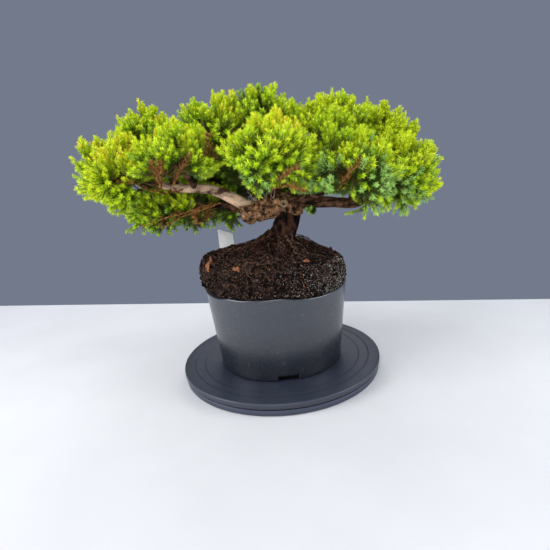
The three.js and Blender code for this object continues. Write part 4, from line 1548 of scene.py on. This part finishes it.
class JUNIPER_OT_foliage(bpy.types.Operator):
    """Grow twigs, shoots and needles in every foliage mass"""

    bl_idname = "juniper.grow_foliage"
    bl_label = "Foliage"

    most_triangles = 190000
    tints = ("gold", "lime", "bright", "mid", "deep", "bloom", "dead")

    def execute(self, context):
        settings = context.scene.juniper_foliage
        fans = grow_fans(settings)
        shoots = grow_shoots(fans, settings)
        self.add_twigs(fans, shoots, context.scene.juniper_wood.twig_colour, settings.dead)
        self.add_needles(shoots, settings)
        return {"FINISHED"}

    @staticmethod
    def add_twigs(fans, shoots, colour, dead_colour):
        """Woody twigs, the green stems of live shoots, and dead sprays with the stems of dead shoots."""
        names = [f"foliage_{name}" for name in MASSES]
        twig = bark_material("twig_bark", shades_of(colour, 0.4, 0.8, 1), 0.004)
        paths = twig_paths(fans)
        taper = np.linspace(1.3, 0.45, paths.shape[1])
        add_piece("twigs", thin_tubes(paths, taper, 5), twig, replaces=names)

        stems = shoot_point(shoots, np.array([[0.0, 0.5, 0.95]]))[0]
        taper = np.array([0.9, 0.75, 0.4])
        green = plain_material("green_twig", colour, roughness=0.7, shine=0.2)
        mottle(green, noise_value(green, 260, 3), list(zip((0.35, 0.65), shades_of(colour, 0.6, 1.3))))
        dead = shoots["dead"]
        add_piece("shoot_stems", thin_tubes(stems[~dead], taper, 3), green)
        rust = bark_material("rust_bark", shades_of(dead_colour, 0.4, 1, 1.5), 0.003)
        mains, sides = dead_spray_paths()
        shapes = [
            thin_tubes(stems[dead], taper, 3),
            thin_tubes(mains, np.linspace(1.2, 0.45, mains.shape[1]), 5),
            thin_tubes(sides, np.linspace(0.48, 0.2, sides.shape[1]), 4),
        ]
        add_piece("dead_sprays", joined(shapes), rust)

    def add_needles(self, shoots, settings):
        """Needles of each tint, in pieces under the limit on triangles; half of the dead have fallen."""
        corners, t = grow_needles(shoots, settings)
        tint = tints_of(shoots, t)
        for label in self.tints:
            colour = getattr(settings, label)
            finish = plain_material(f"needles_{label}", colour, roughness=0.4, shine=0.45)
            chosen = corners[tint == label]
            if label == "dead":
                chosen = chosen[::2]
            parts = max(1, int(np.ceil(2 * len(chosen) / self.most_triangles)))
            for part, some in enumerate(np.array_split(chosen, parts)):
                add_piece(f"needles_{label}_{part + 1}", needle_mesh(some), finish, smooth=False)


class JUNIPER_OT_stage(bpy.types.Operator):
    """Add the floor, the lights and the camera"""

    bl_idname = "juniper.add_stage"
    bl_label = "Stage"

    def execute(self, context):
        settings = context.scene.juniper_stage
        self.add_floor(settings)
        world = bpy.data.worlds.new("studio")
        world.use_nodes = True
        world.node_tree.nodes["Background"].inputs["Color"].default_value = (*settings.backdrop, 1)
        context.scene.world = world
        context.scene.view_settings.view_transform = "Standard"
        for name, lamp in LAMPS.items():
            self.add_light(name, *lamp)
        context.scene.camera = self.add_camera(settings)
        return {"FINISHED"}

    @staticmethod
    def add_floor(settings):
        """Pale floor with a slight mottle."""
        paint = plain_material("floor", settings.floor_colour, roughness=0.75)
        shades = shades_of(settings.floor_colour, 0.96, 1.02)
        mottle(paint, noise_value(paint, 9, 6), list(zip((0.3, 0.7), shades)))
        sizes = (settings.floor_width / MM, settings.floor_front / MM, settings.floor_back / MM)
        floor = mesh_object("floor", table_top(*sizes, settings.floor_turn), paint, smooth=False)

    @staticmethod
    def add_light(name, place, size, power):
        """A square soft light that faces the tree."""
        data = bpy.data.lights.new(name, "AREA")
        data.size = size
        data.energy = power
        back = unit(np.subtract(place, AIM))
        aimed_object(name, data, *side_vectors(back), back, place)

    @staticmethod
    def add_camera(settings):
        """The camera in front of the tree, tilted down and rolled about its view."""
        rise, pitch, roll = settings.rise, settings.pitch, settings.roll
        place = settings.distance * np.array([0, -np.cos(rise), np.sin(rise)])
        ahead = np.array([0, np.cos(pitch), -np.sin(pitch)])
        level = np.array([1.0, 0, 0])
        over = np.cross(level, ahead)
        right, upright = swept(level, over, roll), swept(over, -level, roll)
        data = bpy.data.cameras.new("camera")
        data.sensor_width = 36
        data.lens = settings.lens
        data.clip_start = 0.01
        return aimed_object("camera", data, right, upright, -ahead, place)


class JUNIPER_PT_panel(bpy.types.Panel):
    """Lists the pieces of the tree"""

    bl_label = "Juniper Bonsai"
    bl_idname = "JUNIPER_PT_panel"
    bl_space_type = "VIEW_3D"
    bl_region_type = "UI"
    bl_category = "Bonsai"

    def draw(self, context):
        for operator in OPERATORS:
            self.layout.operator(operator.bl_idname)


GROUPS = {
    "juniper_turntable": TurntableSettings,
    "juniper_pot": PotSettings,
    "juniper_ground": GroundSettings,
    "juniper_wood": WoodSettings,
    "juniper_foliage": FoliageSettings,
    "juniper_stage": StageSettings,
}
OPERATORS = [
    JUNIPER_OT_stage,
    JUNIPER_OT_turntable,
    JUNIPER_OT_pot,
    JUNIPER_OT_ground,
    JUNIPER_OT_label,
    JUNIPER_OT_trunk,
    JUNIPER_OT_boughs,
    JUNIPER_OT_foliage,
]


def register():
    for made in [*GROUPS.values(), *OPERATORS, JUNIPER_PT_panel]:
        bpy.utils.register_class(made)
    for name, group in GROUPS.items():
        setattr(bpy.types.Scene, name, bpy.props.PointerProperty(type=group))


def unregister():
    for name in GROUPS:
        delattr(bpy.types.Scene, name)
    for made in reversed([*GROUPS.values(), *OPERATORS, JUNIPER_PT_panel]):
        bpy.utils.unregister_class(made)


def main():
    register()
    bpy.ops.juniper.add_stage()
    bpy.ops.juniper.add_turntable()
    bpy.ops.juniper.add_pot()
    bpy.ops.juniper.add_ground()
    bpy.ops.juniper.add_label()
    bpy.ops.juniper.add_trunk()
    bpy.ops.juniper.add_boughs()
    bpy.ops.juniper.grow_foliage()
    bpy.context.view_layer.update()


if __name__ == "__main__":
    main()
